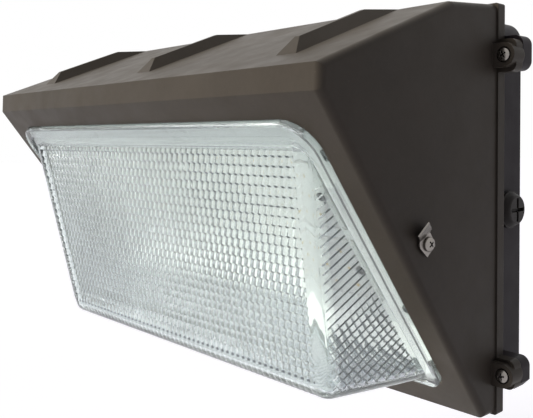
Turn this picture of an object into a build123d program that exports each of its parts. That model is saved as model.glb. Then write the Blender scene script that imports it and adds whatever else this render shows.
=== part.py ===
from build123d import *
import os
from math import atan2, cos, degrees, hypot, radians, sin, tan

# Wall pack light: a die-cast rear box that stays on the wall and a hinged front housing with a
# wedge-shaped prismatic glass, a white reflector, two LED boards and a driver.
# Frame: +X to the light's right-hand side as seen from the camera, +Y into the wall, +Z up.
# The origin is the centre of the rear box's wall face. All sizes are in millimetres.

# ---------------------------------------------------------------- driving dimensions

# Rear box
box_depth = 31.0
box_half_width = 174.5
box_half_height = 107.0
box_corner_radius = 11.5
box_wall = 4.2
box_floor = 3.0
box_edge_chamfer = 0.8
rim_groove_inset = 1.0
rim_groove_width = 2.2
rim_groove_depth = 1.6
rim_gap = 0.3
gasket_side_gap = 0.1
ground_x = 95.0
ground_z = -62.0
ground_boss_radius = 4.6
ground_boss_height = 8.0
boss_root = 1.0

# Front housing: flange and side outline, as (distance in front of the wall, height)
flange_half_width = 181.8
flange_top = 113.5
flange_bottom = -122.5
flange_thickness = 6.8
flange_step = 0.5
flange_side_step = 1.0
flange_corner_radius = 1.5
crest = (-79.2, 109.4)
brow_top = (-175.9, 71.0)
brow_bottom = (-176.5, 58.4)
chin = (-48.7, -121.7)
side_draft = 0.004
shell_wall = 3.0
side_edge_radius = 4.0
ledge_thickness = 3.2
ledge_opening_half_width = 167.0
ledge_opening_half_height = 101.0
ledge_corner_radius = 8.0

# Roof ribs
rib_spacing = 135.4
rib_base_width = 15.0
rib_top_width = 3.4
rib_height = 6.2
rib_front_y = -156.3
rib_nose_angle = radians(30)
rib_root = 1.5
rib_length = 95.0

# Window and glass, measured down the sloping face from the brow
window_top = 15.1
window_bottom = 199.5
window_half_width = 162.9
window_top_radius = 19.0
window_bottom_radius = 9.0
window_least_radius = 3.0
window_gap = 0.5
glass_wall = 5.0
glass_lip = 4.0
glass_lip_thickness = 4.0
glass_rim_height = 3.5
glass_rim_width = 8.0
glass_rim_rounding = 1.6
glass_front_drop = 23.9
glass_under_drop = 197.5
glass_side_half_width = 154.7
glass_nose_drop = 152.1
glass_nose_reach = 58.2
glass_nose_half_width = 143.7
glass_corner_radius = 8.5
glass_mouth_half_width = 150.5
glass_mouth_top = 29.0
glass_mouth_bottom = 191.0
glass_mouth_radius = 8.0
gasket_thickness = 1.0
gasket_hole_gap = 0.3
gasket_edge_gap = 0.4

# Lugs, captive door screws and hinge
lug_outer_x = 193.3
lug_root = 4.0
door_lug_corner_radius = 4.0
upper_lug_z = 83.5
lower_lug_z = -97.1
upper_door_lug_half_height = 9.2
lower_door_lug_half_height = 8.4
upper_rear_lug_z = 85.5
lower_rear_lug_z = -98.1
upper_rear_lug_half_height = 9.9
lower_rear_lug_half_height = 8.9
rear_lug_corner_radius = 5.5
rear_lug_corner_chamfer = 4.5
rear_lug_depth = 10.0
lug_gap = 0.5
door_screw_x = 187.8
door_boss_radius = 6.8
door_boss_reach = 11.0
door_recess_radius = 4.5
door_recess_depth = 1.2
door_screw_head_radius = 3.8
door_screw_head_height = 2.7
door_screw_tip_chamfer = 0.5
door_screw_pocket_depth = 6.5
door_screw_radius = 2.0
door_screw_gap = 0.4
door_screw_relief_radius = 1.5
door_screw_relief_gap = 0.25
door_screw_thread_start = 1.5
door_screw_tip = 8.0
hinge_x = -188.6
hinge_z = 82.0
knuckle_radius = 6.0
knuckle_half_length = 15.0
door_knuckle_half_length = 5.8
knuckle_gap = 0.2
knuckle_web_thickness = 5.5
knuckle_web_middle = 3.25
knuckle_web_root = 3.0
door_knuckle_web_root = 4.0
hinge_pin_radius = 2.4
hinge_running_gap = 0.05
pin_seat_gap = 0.02
pin_tail = 3.0
pin_head_overhang = 1.6
pin_head_height = 1.8
pin_head_rounding = 0.9
pin_tip_chamfer = 0.5
ring_gap = 0.4
ring_groove_width = 0.9
ring_groove_radius = 1.8
ring_seat_gap = 0.05
ring_overhang = 2.0
ring_mouth = 2.4

# Conduit entries in the rear box's sides
plug_y = -14.9
plug_z = -5.6
plug_flange_radius = 11.2
plug_face_radius = 8.4
plug_thread_radius = 10.0
plug_thread_length = 10.0
plug_flange_height = 1.6
plug_dome_height = 4.2
plug_dome_step = 0.8
plug_face_rounding = 1.2
plug_slot_length = 14.0
plug_slot_width = 2.2
plug_slot_depth = 2.4
plug_wall = 2.5
plug_floor = 2.0
entry_pad_radius = 12.5
entry_pad_depth = 9.0
seal_thickness = 1.0
seal_edge_gap = 0.4
seal_bore_gap = 0.2

# Wall fixing and rear wire entry
bolt_half_spacing_x = 140.0
bolt_half_spacing_z = 75.0
bolt_hole_radius = 3.3
bolt_boss_radius = 8.0
bolt_boss_height = 4.0
junction_slot_half_spacing = 44.45
junction_slot_length = 12.0
junction_slot_width = 5.6
wire_entry_radius = 10.4
wire_entry_wall = 4.0
wire_entry_length = 9.0

# Small fasteners
small_screw_radius = 1.8
screw_gap = 0.05
clearance_gap = 0.2
wide_clearance_gap = 0.3
ground_screw_length = 7.0
ground_screw_head_radius = 4.2
ground_screw_head_height = 2.6
light_screw_head_radius = 2.8
light_screw_head_height = 1.8
clip_screw_length = 7.0
board_screw_length = 4.0
heavy_screw_head_radius = 3.8
heavy_screw_head_height = 2.6
plate_screw_length = 12.0
driver_screw_length = 10.0
side_clip_screw_length = 6.0
side_clip_screw_head_radius = 3.7
side_clip_screw_head_height = 2.2
crown_share = 0.6
slot_depth_share = 0.6
slot_length_share = 1.15
slot_width_share = 0.24

# Light engine, as depths behind the sloping face
reflector_sheet = 1.2
reflector_lip_depth = 10.0
reflector_base_depth = 21.0
reflector_half_width = 142.0
reflector_top = 36.0
reflector_bottom = 180.0
reflector_corner_radius = 12.0
reflector_mouth_inset = 3.5
reflector_lip_margin = 1.5
board_opening_gap = 3.0
reflector_screw_x = 131.0
reflector_screw_drops = (52.0, 164.0)
led_plate_depth = 22.4
led_plate_thickness = 3.0
led_plate_half_width = 150.0
led_plate_top = 1.0
led_plate_bottom = 211.5
led_plate_corner_radius = 4.0
board_length = 240.0
board_width = 46.0
board_thickness = 1.6
board_drops = (80.0, 136.0)
board_screw_x = 114.0
led_columns = 12
led_rows = 3
led_pitch_x = 19.0
led_pitch_y = 14.0
led_size = 3.0
led_height = 0.7
post_x = 120.0
upper_post_drop = 5.8
lower_post_drop = 208.6
clip_xs = (-150.0, -55.0, 55.0, 150.0)
clip_screw_radius = 1.5
clip_boss_radius = 4.2
clip_sheet = 1.2
clip_width = 12.0
clip_length = 13.0
clip_reach = 4.8
clip_corner_radius = 1.5
clip_hole_floor = 1.5
plate_screw_radius = 2.0
plate_hole_depth = 14.0
post_radius = 4.8

# Driver under the roof
driver_y = -71.0
driver_top = 94.5
driver_half_length = 72.0
driver_half_depth = 27.0
driver_height = 33.5
driver_foot_x = 83.0
driver_sheet = 1.5
driver_cap = 4.0
driver_cap_inset = 0.3
driver_case_radius = 3.0
driver_foot_end = 9.0
driver_foot_width = 24.0
driver_foot_radius = 3.0
driver_hole_depth = 12.0
grommet_radius = 5.0
grommet_bore_radius = 3.0

# Side clip on the right-hand panel
side_clip_y = -102.8
side_clip_z = -16.0
side_clip_pad_radius = 4.0
side_clip_pad_height = 1.0
side_clip_sheet = 0.8
side_clip_bend = radians(30)
side_clip_hole_gap = 0.15
side_clip_hole_depth = 6.0

# ---------------------------------------------------------------- worked-out places

joint_y = -box_depth
flange_front_y = joint_y - flange_thickness
face_angle = atan2(chin[0] - brow_bottom[0], brow_bottom[1] - chin[1])
down_face = Vector(0, sin(face_angle), -cos(face_angle))
out_of_face = Vector(0, -cos(face_angle), -sin(face_angle))
brow = Vector(0, brow_bottom[0], brow_bottom[1])

# The sloping face seen square on: x across, y up the slope, z outwards.
face_plane = Plane(origin=brow, x_dir=(1, 0, 0), z_dir=out_of_face)
# The section through the middle of the light: x down the slope, y outwards.
section_plane = Plane(origin=brow, x_dir=down_face, z_dir=(-1, 0, 0))

roof_angle = atan2(crest[1] - brow_top[1], crest[0] - brow_top[0])


def body_half_width(y):
    """Half width of the front housing's drafted sides at the distance y from the wall."""
    return flange_half_width - flange_side_step + side_draft * (y - flange_front_y)


def face_point(x, drop, height=0.0):
    """Point given across the face, down it from the brow, and out of it."""
    return brow + Vector(x, 0, 0) + down_face * drop + out_of_face * height


def face_seat(x, drop, depth, outwards=False):
    """Plane parallel to the sloping face at a depth behind it, facing backwards or outwards."""
    normal = out_of_face if outwards else out_of_face * -1
    return Plane(origin=face_point(x, drop, -depth), x_dir=(1, 0, 0), z_dir=normal)


def rounded_outline(half_width, top_drop, bottom_drop, top_radius, bottom_radius):
    """Rounded rectangle on the sloping face, given by its distances down from the brow."""
    with BuildSketch(Plane.XY) as outline:
        with Locations((0, -(top_drop + bottom_drop) / 2)):
            Rectangle(2 * half_width, bottom_drop - top_drop)
        fillet(outline.vertices().group_by(Axis.Y)[-1], radius=top_radius)
        fillet(outline.vertices().group_by(Axis.Y)[0], radius=bottom_radius)
    return outline.sketch


def window_outline(margin):
    """Outline of the window in the sloping face, grown by a margin."""
    return rounded_outline(
        window_half_width + margin,
        window_top - margin,
        window_bottom + margin,
        max(window_top_radius + margin, window_least_radius),
        max(window_bottom_radius + margin, window_least_radius),
    )


def pan_head_screw(seat, shank_radius, shank_length, head_radius, head_height):
    """Cross-recessed pan-head screw: its head stands on the seat plane, its shank goes in."""
    slot_length = slot_length_share * head_radius
    slot_width = slot_width_share * head_radius
    with BuildPart() as screw:
        with BuildSketch(seat):
            Circle(head_radius)
        extrude(amount=head_height)
        crown = screw.faces().sort_by(Axis(seat.origin, seat.z_dir))[-1]
        fillet(crown.edges(), radius=crown_share * head_height)
        with BuildSketch(seat):
            Circle(shank_radius)
        extrude(amount=-shank_length)
        with BuildSketch(seat.offset(head_height)):
            Rectangle(slot_length, slot_width)
            Rectangle(slot_width, slot_length)
        extrude(amount=-slot_depth_share * head_height, mode=Mode.SUBTRACT)
    return screw.part


def save(piece, label):
    """Name a finished piece and write it out."""
    piece.label = label
    export_step(piece, f"parts/{label}.step")


def save_group(pieces, label):
    """Write identical pieces as separate solids of one node."""
    with BuildPart() as group:
        add(pieces)
    save(group.part, label)


os.makedirs("parts", exist_ok=True)

# ---------------------------------------------------------------- rear box

rim_y_reach = box_depth - rim_gap
bolt_places = [
    (sx * bolt_half_spacing_x, sz * bolt_half_spacing_z) for sx in (-1, 1) for sz in (-1, 1)
]
hinge_centres = (hinge_z, -hinge_z)

with BuildPart() as rear_housing:
    # Cast box, open towards the room
    with BuildSketch(Plane.XZ):
        RectangleRounded(2 * box_half_width, 2 * box_half_height, box_corner_radius)
    extrude(amount=rim_y_reach)
    chamfer(rear_housing.faces().sort_by(Axis.Y)[-1].edges(), length=box_edge_chamfer)
    # Lugs on the right that take the door screws
    rear_lug_length = lug_outer_x - box_half_width + lug_root
    rear_lug_middle = lug_outer_x - rear_lug_length / 2
    with BuildSketch(Plane.XZ.offset(box_depth - rear_lug_depth)) as upper_rear_lug:
        with Locations((rear_lug_middle, upper_rear_lug_z)):
            Rectangle(rear_lug_length, 2 * upper_rear_lug_half_height)
        fillet(upper_rear_lug.vertices().group_by(Axis.X)[-1], radius=rear_lug_corner_radius)
    extrude(amount=rear_lug_depth - lug_gap)
    with BuildSketch(Plane.XZ.offset(box_depth - rear_lug_depth)) as lower_rear_lug:
        with Locations((rear_lug_middle, lower_rear_lug_z)):
            Rectangle(rear_lug_length, 2 * lower_rear_lug_half_height)
        outer_corners = lower_rear_lug.vertices().group_by(Axis.X)[-1].sort_by(Axis.Y)
        chamfer(outer_corners[0], length=rear_lug_corner_chamfer)
        fillet(outer_corners[-1], radius=rear_lug_corner_radius)
    extrude(amount=rear_lug_depth - lug_gap)
    # Hinge knuckles on the left, two to each hinge, with webs behind the joint plane
    knuckle_inner = door_knuckle_half_length + knuckle_gap
    web_length = -hinge_x - box_half_width + knuckle_web_root
    for centre in hinge_centres:
        for start in (centre + knuckle_inner, centre - knuckle_half_length):
            with BuildSketch(Plane.XY.offset(start)):
                with Locations((hinge_x, joint_y)):
                    Circle(knuckle_radius)
                with Locations((hinge_x + web_length / 2, joint_y + knuckle_web_middle)):
                    Rectangle(web_length, knuckle_web_thickness)
            extrude(amount=knuckle_half_length - knuckle_inner)
    # Hollow
    with BuildSketch(Plane.XZ.offset(box_floor)):
        RectangleRounded(
            2 * (box_half_width - box_wall),
            2 * (box_half_height - box_wall),
            box_corner_radius - box_wall,
        )
    extrude(amount=box_depth, mode=Mode.SUBTRACT)
    # Thick pads behind the conduit entries, bosses for wall bolts, wire entry and ground screw
    for side in (-1, 1):
        entry = Plane(origin=(side * (box_half_width - 1), plug_y, plug_z), z_dir=(side, 0, 0))
        with BuildSketch(entry):
            Circle(entry_pad_radius)
        extrude(amount=-entry_pad_depth)
    with BuildSketch(Plane.XZ.offset(box_floor - boss_root)):
        with Locations(*bolt_places):
            Circle(bolt_boss_radius)
    extrude(amount=bolt_boss_height + boss_root)
    with BuildSketch(Plane.XZ):
        Circle(wire_entry_radius + wire_entry_wall)
    extrude(amount=wire_entry_length)
    with BuildSketch(Plane.XZ.offset(box_floor - boss_root)):
        with Locations((ground_x, ground_z)):
            Circle(ground_boss_radius)
    extrude(amount=ground_boss_height + boss_root)
    # Gasket groove in the rim
    with BuildSketch(Plane.XZ.offset(rim_y_reach - rim_groove_depth)):
        RectangleRounded(
            2 * (box_half_width - rim_groove_inset),
            2 * (box_half_height - rim_groove_inset),
            box_corner_radius - rim_groove_inset,
        )
        RectangleRounded(
            2 * (box_half_width - rim_groove_inset - rim_groove_width),
            2 * (box_half_height - rim_groove_inset - rim_groove_width),
            box_corner_radius - rim_groove_inset - rim_groove_width,
            mode=Mode.SUBTRACT,
        )
    extrude(amount=rim_groove_depth, mode=Mode.SUBTRACT)
    # Holes through the floor
    with BuildSketch(Plane.XZ.offset(-1)):
        with Locations(*bolt_places):
            Circle(bolt_hole_radius)
        Circle(wire_entry_radius)
        with Locations((-junction_slot_half_spacing, 0), (junction_slot_half_spacing, 0)):
            SlotOverall(junction_slot_length, junction_slot_width)
    extrude(amount=box_depth, mode=Mode.SUBTRACT)
    with BuildSketch(Plane.XZ.offset(box_floor)):
        with Locations((ground_x, ground_z)):
            Circle(small_screw_radius + screw_gap)
    extrude(amount=box_depth, mode=Mode.SUBTRACT)
    # Holes through the lugs, the conduit entries and the hinge knuckles
    with BuildSketch(Plane.XZ.offset(box_depth - rear_lug_depth)):
        with Locations((door_screw_x, upper_lug_z), (door_screw_x, lower_lug_z)):
            Circle(door_screw_radius + door_screw_gap)
    extrude(amount=rear_lug_depth, mode=Mode.SUBTRACT)
    with BuildSketch(Plane.YZ.offset(-box_half_width - 1)):
        with Locations((plug_y, plug_z)):
            Circle(plug_thread_radius + screw_gap)
    extrude(amount=2 * box_half_width + 2, mode=Mode.SUBTRACT)
    with BuildSketch(Plane.XY.offset(-hinge_z - knuckle_half_length)):
        with Locations((hinge_x, joint_y)):
            Circle(hinge_pin_radius + pin_seat_gap)
    extrude(amount=2 * (hinge_z + knuckle_half_length), mode=Mode.SUBTRACT)
save(rear_housing.part, "rear_housing")

# Silicone seal in the rim groove, standing up to the joint plane
with BuildPart() as door_gasket:
    with BuildSketch(Plane.XZ.offset(rim_y_reach - rim_groove_depth)):
        RectangleRounded(
            2 * (box_half_width - rim_groove_inset - gasket_side_gap),
            2 * (box_half_height - rim_groove_inset - gasket_side_gap),
            box_corner_radius - rim_groove_inset - gasket_side_gap,
        )
        RectangleRounded(
            2 * (box_half_width - rim_groove_inset - rim_groove_width + gasket_side_gap),
            2 * (box_half_height - rim_groove_inset - rim_groove_width + gasket_side_gap),
            box_corner_radius - rim_groove_inset - rim_groove_width + gasket_side_gap,
            mode=Mode.SUBTRACT,
        )
    extrude(amount=rim_groove_depth + rim_gap)
save(door_gasket.part, "door_gasket")


def conduit_plug(side):
    """Domed plug with a cross slot, screwed into the conduit entry on one side."""
    seat = Plane(
        origin=(side * (box_half_width + seal_thickness), plug_y, plug_z),
        x_dir=(0, 1, 0),
        z_dir=(side, 0, 0),
    )
    dome_radius = plug_flange_radius - plug_dome_step
    dome_taper = degrees(atan2(dome_radius - plug_face_radius, plug_dome_height))
    with BuildPart() as plug:
        with BuildSketch(seat):
            Circle(plug_flange_radius)
        extrude(amount=plug_flange_height)
        with BuildSketch(seat.offset(plug_flange_height)):
            Circle(dome_radius)
        extrude(amount=plug_dome_height, taper=dome_taper)
        face = plug.faces().sort_by(Axis(seat.origin, seat.z_dir))[-1]
        fillet(face.edges(), radius=plug_face_rounding)
        with BuildSketch(seat):
            Circle(plug_thread_radius)
        extrude(amount=-plug_thread_length)
        with BuildSketch(seat.offset(plug_flange_height + plug_dome_height)):
            Rectangle(plug_slot_length, plug_slot_width)
            Rectangle(plug_slot_width, plug_slot_length)
        extrude(amount=-plug_slot_depth, mode=Mode.SUBTRACT)
        with BuildSketch(seat.offset(-plug_thread_length)):
            Circle(plug_thread_radius - plug_wall)
        extrude(amount=plug_thread_length - plug_floor, mode=Mode.SUBTRACT)
    return plug.part


def plug_seal(side):
    """Flat rubber ring under a conduit plug."""
    seat = Plane(origin=(side * box_half_width, plug_y, plug_z), z_dir=(side, 0, 0))
    with BuildPart() as seal:
        with BuildSketch(seat):
            Circle(plug_flange_radius - seal_edge_gap)
            Circle(plug_thread_radius + seal_bore_gap, mode=Mode.SUBTRACT)
        extrude(amount=seal_thickness)
    return seal.part


save(conduit_plug(1), "conduit_plug_right")
save(conduit_plug(-1), "conduit_plug_left")
save_group([plug_seal(1), plug_seal(-1)], "conduit_plug_seals")

ground_seat = Plane(
    origin=(ground_x, -box_floor - ground_boss_height, ground_z), x_dir=(1, 0, 0), z_dir=(0, -1, 0)
)
save(
    pan_head_screw(
        ground_seat,
        small_screw_radius,
        ground_screw_length,
        ground_screw_head_radius,
        ground_screw_head_height,
    ),
    "ground_screw",
)


def hinge_pin(centre):
    """Headed pin down one hinge, grooved below for its retaining ring."""
    top = centre + knuckle_half_length
    length = 2 * knuckle_half_length + pin_tail
    with BuildPart() as pin:
        with BuildSketch(Plane.XY.offset(top)):
            with Locations((hinge_x, joint_y)):
                Circle(hinge_pin_radius + pin_head_overhang)
        extrude(amount=pin_head_height)
        fillet(pin.faces().sort_by(Axis.Z)[-1].edges(), radius=pin_head_rounding)
        with BuildSketch(Plane.XY.offset(top)):
            with Locations((hinge_x, joint_y)):
                Circle(hinge_pin_radius)
        extrude(amount=-length)
        chamfer(pin.faces().sort_by(Axis.Z)[0].edges(), length=pin_tip_chamfer)
        with BuildSketch(Plane.XY.offset(centre - knuckle_half_length - ring_gap)):
            with Locations((hinge_x, joint_y)):
                Circle(hinge_pin_radius + 1)
                Circle(ring_groove_radius, mode=Mode.SUBTRACT)
        extrude(amount=-ring_groove_width, mode=Mode.SUBTRACT)
    return pin.part


def retaining_ring(centre):
    """Open ring snapped into the pin's groove."""
    with BuildPart() as ring:
        with BuildSketch(Plane.XY.offset(centre - knuckle_half_length - ring_gap - ring_seat_gap)):
            with Locations((hinge_x, joint_y)):
                Circle(hinge_pin_radius + ring_overhang)
                Circle(ring_groove_radius + ring_seat_gap, mode=Mode.SUBTRACT)
            with Locations((hinge_x - hinge_pin_radius - 1, joint_y)):
                Rectangle(2 * hinge_pin_radius, ring_mouth, mode=Mode.SUBTRACT)
        extrude(amount=-(ring_groove_width - 2 * ring_seat_gap))
    return ring.part


save_group([hinge_pin(centre) for centre in hinge_centres], "hinge_pins")
save_group([retaining_ring(centre) for centre in hinge_centres], "hinge_pin_rings")

# ---------------------------------------------------------------- front housing

flange_middle_z = (flange_top + flange_bottom) / 2
flange_height = flange_top - flange_bottom
top_at_flange = flange_top - flange_step
bottom_at_flange = flange_bottom + flange_step
deck_angle = atan2(top_at_flange - crest[1], flange_front_y - crest[0])


def housing_side_profile(back_y):
    """Corners of the front housing's side outline, from the back edge over the roof to the chin."""
    return [
        (back_y, top_at_flange),
        (flange_front_y, top_at_flange),
        crest,
        brow_top,
        brow_bottom,
        chin,
        (flange_front_y, bottom_at_flange),
        (back_y, bottom_at_flange),
    ]


def housing_plan(inset):
    """Corners of the front housing's drafted plan outline, moved in by an inset."""
    back = joint_y + 1
    front = brow_bottom[0] - 5
    wide = body_half_width(back) - inset
    narrow = body_half_width(front) - inset
    return [(-wide, back), (wide, back), (narrow, front), (-narrow, front)]


# Rib along the roof: a steep-sided ridge cut off level with the deck behind the crest
rib_foot = Vector(0, rib_front_y, crest[1] + (rib_front_y - crest[0]) * tan(roof_angle))
rib_plane = Plane(
    origin=rib_foot, x_dir=(-1, 0, 0), z_dir=(0, cos(roof_angle), sin(roof_angle))
)
rib_nose_plane = Plane(
    origin=rib_foot,
    x_dir=(1, 0, 0),
    z_dir=(0, -sin(roof_angle + rib_nose_angle), cos(roof_angle + rib_nose_angle)),
)
deck_plane = Plane(
    origin=(0, crest[0], crest[1]),
    x_dir=(1, 0, 0),
    z_dir=(0, -sin(deck_angle), cos(deck_angle)),
)

with BuildPart() as roof_rib:
    with BuildSketch(rib_plane):
        with BuildLine():
            Polyline(
                (-rib_base_width / 2, -rib_root),
                (rib_base_width / 2, -rib_root),
                (rib_base_width / 2, 0),
                (rib_top_width / 2, rib_height),
                (-rib_top_width / 2, rib_height),
                (-rib_base_width / 2, 0),
                close=True,
            )
        make_face()
    extrude(amount=rib_length)
    split(bisect_by=rib_nose_plane, keep=Keep.BOTTOM)
    split(bisect_by=deck_plane, keep=Keep.BOTTOM)

# Hollow of the housing
with BuildPart() as housing_hollow:
    with BuildSketch(Plane.YZ):
        with BuildLine():
            Polyline(*housing_side_profile(joint_y - ledge_thickness + shell_wall), close=True)
        make_face()
        offset(amount=-shell_wall, kind=Kind.INTERSECTION)
    extrude(amount=flange_half_width, both=True)
    with BuildSketch(Plane.XY.offset(flange_bottom)):
        with BuildLine():
            Polyline(*housing_plan(shell_wall), close=True)
        make_face()
    extrude(amount=flange_height, mode=Mode.INTERSECT)

window_hole = window_outline(window_gap)
clip_places = [(x, -drop) for x in clip_xs for drop in (upper_post_drop, lower_post_drop)]
post_places = [
    (side * post_x, -drop) for side in (-1, 1) for drop in (upper_post_drop, lower_post_drop)
]
clip_seat_depth = shell_wall + gasket_thickness + glass_lip_thickness
driver_feet = [(side * driver_foot_x, driver_y) for side in (-1, 1)]
door_lugs = (
    (upper_lug_z, upper_door_lug_half_height),
    (lower_lug_z, lower_door_lug_half_height),
)
side_panel_normal = Vector(1, -side_draft, 0)
side_clip_plane = Plane(
    origin=(body_half_width(side_clip_y), side_clip_y, side_clip_z),
    x_dir=(side_draft, 1, 0),
    z_dir=side_panel_normal,
)

with BuildPart() as front_housing:
    with BuildSketch(Plane.YZ):
        with BuildLine():
            Polyline(*housing_side_profile(joint_y - 1), close=True)
        make_face()
    extrude(amount=flange_half_width, both=True)
    with BuildSketch(Plane.XY.offset(flange_bottom)):
        with BuildLine():
            Polyline(*housing_plan(0), close=True)
        make_face()
    extrude(amount=flange_height, mode=Mode.INTERSECT)
    # Rounded edges down both sides
    for side_faces in (
        front_housing.faces().sort_by(Axis.X)[-1],
        front_housing.faces().sort_by(Axis.X)[0],
    ):
        rim_edges = [
            edge for edge in side_faces.edges() if edge.center().Y < flange_front_y - 1
        ]
        fillet(rim_edges, radius=side_edge_radius)
    # Roof ribs
    with Locations((-rib_spacing, 0, 0), (0, 0, 0), (rib_spacing, 0, 0)):
        add(roof_rib.part)
    # Flange against the rear box
    with BuildSketch(Plane.XZ.offset(box_depth)):
        with Locations((0, flange_middle_z)):
            RectangleRounded(2 * flange_half_width, flange_height, flange_corner_radius)
    extrude(amount=flange_thickness)
    # Lugs and round bosses for the captive screws
    door_lug_length = lug_outer_x - flange_half_width + lug_root
    boss_root_length = door_screw_x - flange_half_width + lug_root
    for lug_z, lug_half_height in door_lugs:
        with BuildSketch(Plane.XZ.offset(box_depth)) as door_lug:
            with Locations((lug_outer_x - door_lug_length / 2, lug_z)):
                Rectangle(door_lug_length, 2 * lug_half_height)
            fillet(door_lug.vertices().group_by(Axis.X)[-1], radius=door_lug_corner_radius)
        extrude(amount=flange_thickness)
        with BuildSketch(Plane.XZ.offset(box_depth)):
            with Locations((door_screw_x, lug_z)):
                Circle(door_boss_radius)
            with Locations((door_screw_x - boss_root_length / 2, lug_z)):
                Rectangle(boss_root_length, 2 * door_boss_radius)
        extrude(amount=door_boss_reach)
    # Hinge knuckles on the left, with webs in front of the joint plane
    door_web_length = -hinge_x - flange_half_width + door_knuckle_web_root
    for centre in hinge_centres:
        with BuildSketch(Plane.XY.offset(centre - door_knuckle_half_length)):
            with Locations((hinge_x, joint_y)):
                Circle(knuckle_radius)
            with Locations((hinge_x + door_web_length / 2, joint_y - knuckle_web_middle)):
                Rectangle(door_web_length, knuckle_web_thickness)
        extrude(amount=2 * door_knuckle_half_length)
    # Hollow, opening at the back and window in the sloping face
    add(housing_hollow.part, mode=Mode.SUBTRACT)
    with BuildSketch(Plane.XZ.offset(box_depth - 1)):
        RectangleRounded(
            2 * ledge_opening_half_width, 2 * ledge_opening_half_height, ledge_corner_radius
        )
    extrude(amount=ledge_thickness + 2, mode=Mode.SUBTRACT)
    with BuildSketch(face_plane.offset(1)):
        add(window_hole)
    extrude(amount=-(shell_wall + 2), mode=Mode.SUBTRACT)
    # Bosses round the window for the glass clips, longer posts for the LED plate
    with BuildSketch(face_plane.offset(-shell_wall + 1)):
        with Locations(*clip_places):
            Circle(clip_boss_radius)
    extrude(amount=-(clip_seat_depth - shell_wall + 1))
    with BuildSketch(face_plane.offset(-shell_wall + 1)):
        with Locations(*post_places):
            Circle(post_radius)
    extrude(amount=-(led_plate_depth - shell_wall + 1))
    # Bosses hanging from the deck for the driver
    with BuildSketch(Plane.XY.offset(driver_top)):
        with Locations(*driver_feet):
            Circle(post_radius)
    extrude(amount=crest[1] - shell_wall + 1 - driver_top)
    # Raised pad under the side clip
    with BuildSketch(side_clip_plane.offset(-1)):
        Circle(side_clip_pad_radius)
    extrude(amount=1 + side_clip_pad_height)
    # Screw holes
    with BuildSketch(face_plane.offset(-clip_seat_depth)):
        with Locations(*clip_places):
            Circle(clip_screw_radius + screw_gap)
    extrude(amount=clip_seat_depth - clip_hole_floor, mode=Mode.SUBTRACT)
    with BuildSketch(face_plane.offset(-led_plate_depth)):
        with Locations(*post_places):
            Circle(plate_screw_radius + screw_gap)
    extrude(amount=plate_hole_depth, mode=Mode.SUBTRACT)
    with BuildSketch(Plane.XY.offset(driver_top)):
        with Locations(*driver_feet):
            Circle(plate_screw_radius + screw_gap)
    extrude(amount=driver_hole_depth, mode=Mode.SUBTRACT)
    with BuildSketch(side_clip_plane.offset(side_clip_pad_height)):
        Circle(clip_screw_radius + screw_gap)
    extrude(amount=-side_clip_hole_depth, mode=Mode.SUBTRACT)
    for lug_z in (upper_lug_z, lower_lug_z):
        with BuildSketch(Plane.XZ.offset(box_depth + door_boss_reach)):
            with Locations((door_screw_x, lug_z)):
                Circle(door_recess_radius)
        extrude(amount=-door_recess_depth, mode=Mode.SUBTRACT)
        with BuildSketch(Plane.XZ.offset(box_depth)):
            with Locations((door_screw_x, lug_z)):
                Circle(door_screw_relief_radius + door_screw_relief_gap)
        extrude(amount=door_boss_reach, mode=Mode.SUBTRACT)
        with BuildSketch(Plane.XZ.offset(box_depth)):
            with Locations((door_screw_x, lug_z)):
                Circle(door_screw_radius + door_screw_gap)
        extrude(amount=door_screw_pocket_depth, mode=Mode.SUBTRACT)
    with BuildSketch(Plane.XY.offset(-hinge_z - knuckle_half_length)):
        with Locations((hinge_x, joint_y)):
            Circle(hinge_pin_radius + hinge_running_gap)
    extrude(amount=2 * (hinge_z + knuckle_half_length), mode=Mode.SUBTRACT)
save(front_housing.part, "front_housing")

# ---------------------------------------------------------------- glass

# Slopes of the wedge: front panel and underside run from the nose back to the face,
# and the sides lean in from the face to the nose.
front_slope = glass_nose_reach / (glass_nose_drop - glass_front_drop)
under_slope = glass_nose_reach / (glass_under_drop - glass_nose_drop)
side_lean = (glass_side_half_width - glass_nose_half_width) / glass_nose_reach


def glass_wedge(inset, base):
    """Wedge of the glass standing on a base height, all its faces moved in by an inset."""
    base_front = glass_front_drop + base / front_slope + inset * hypot(1, 1 / front_slope)
    base_under = glass_under_drop - base / under_slope - inset * hypot(1, 1 / under_slope)
    base_side = glass_side_half_width - base * side_lean - inset * hypot(1, side_lean)
    nose_rise = (base_under - base_front) / (1 / front_slope + 1 / under_slope)
    tip_side = base_side - nose_rise * side_lean
    side_plane = Plane(origin=brow, x_dir=(1, 0, 0), z_dir=down_face)
    with BuildPart() as wedge:
        with BuildSketch(section_plane):
            with BuildLine():
                Polyline(
                    (base_front, base),
                    (base_under, base),
                    (base_front + nose_rise / front_slope, base + nose_rise),
                    close=True,
                )
            make_face()
        extrude(amount=window_half_width, both=True)
        with BuildSketch(side_plane):
            with BuildLine():
                Polyline(
                    (-base_side, base),
                    (base_side, base),
                    (tip_side, base + nose_rise),
                    (-tip_side, base + nose_rise),
                    close=True,
                )
            make_face()
        extrude(amount=window_bottom + 20, mode=Mode.INTERSECT)
        standing = [
            edge
            for edge in wedge.edges()
            if (edge.center() - brow).dot(out_of_face) > base + 1
        ]
        fillet(standing, radius=glass_corner_radius - inset)
    return wedge.part


wedge_foot = -1.0
outer_wedge = glass_wedge(0, wedge_foot)
inner_wedge = glass_wedge(glass_wall, wedge_foot - 0.5)
glass_rim = window_outline(0)
glass_rim_inside = window_outline(-glass_rim_width)
glass_lip_outline = window_outline(glass_lip)
glass_mouth = rounded_outline(
    glass_mouth_half_width,
    glass_mouth_top,
    glass_mouth_bottom,
    glass_mouth_radius,
    glass_mouth_radius,
)

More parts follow.
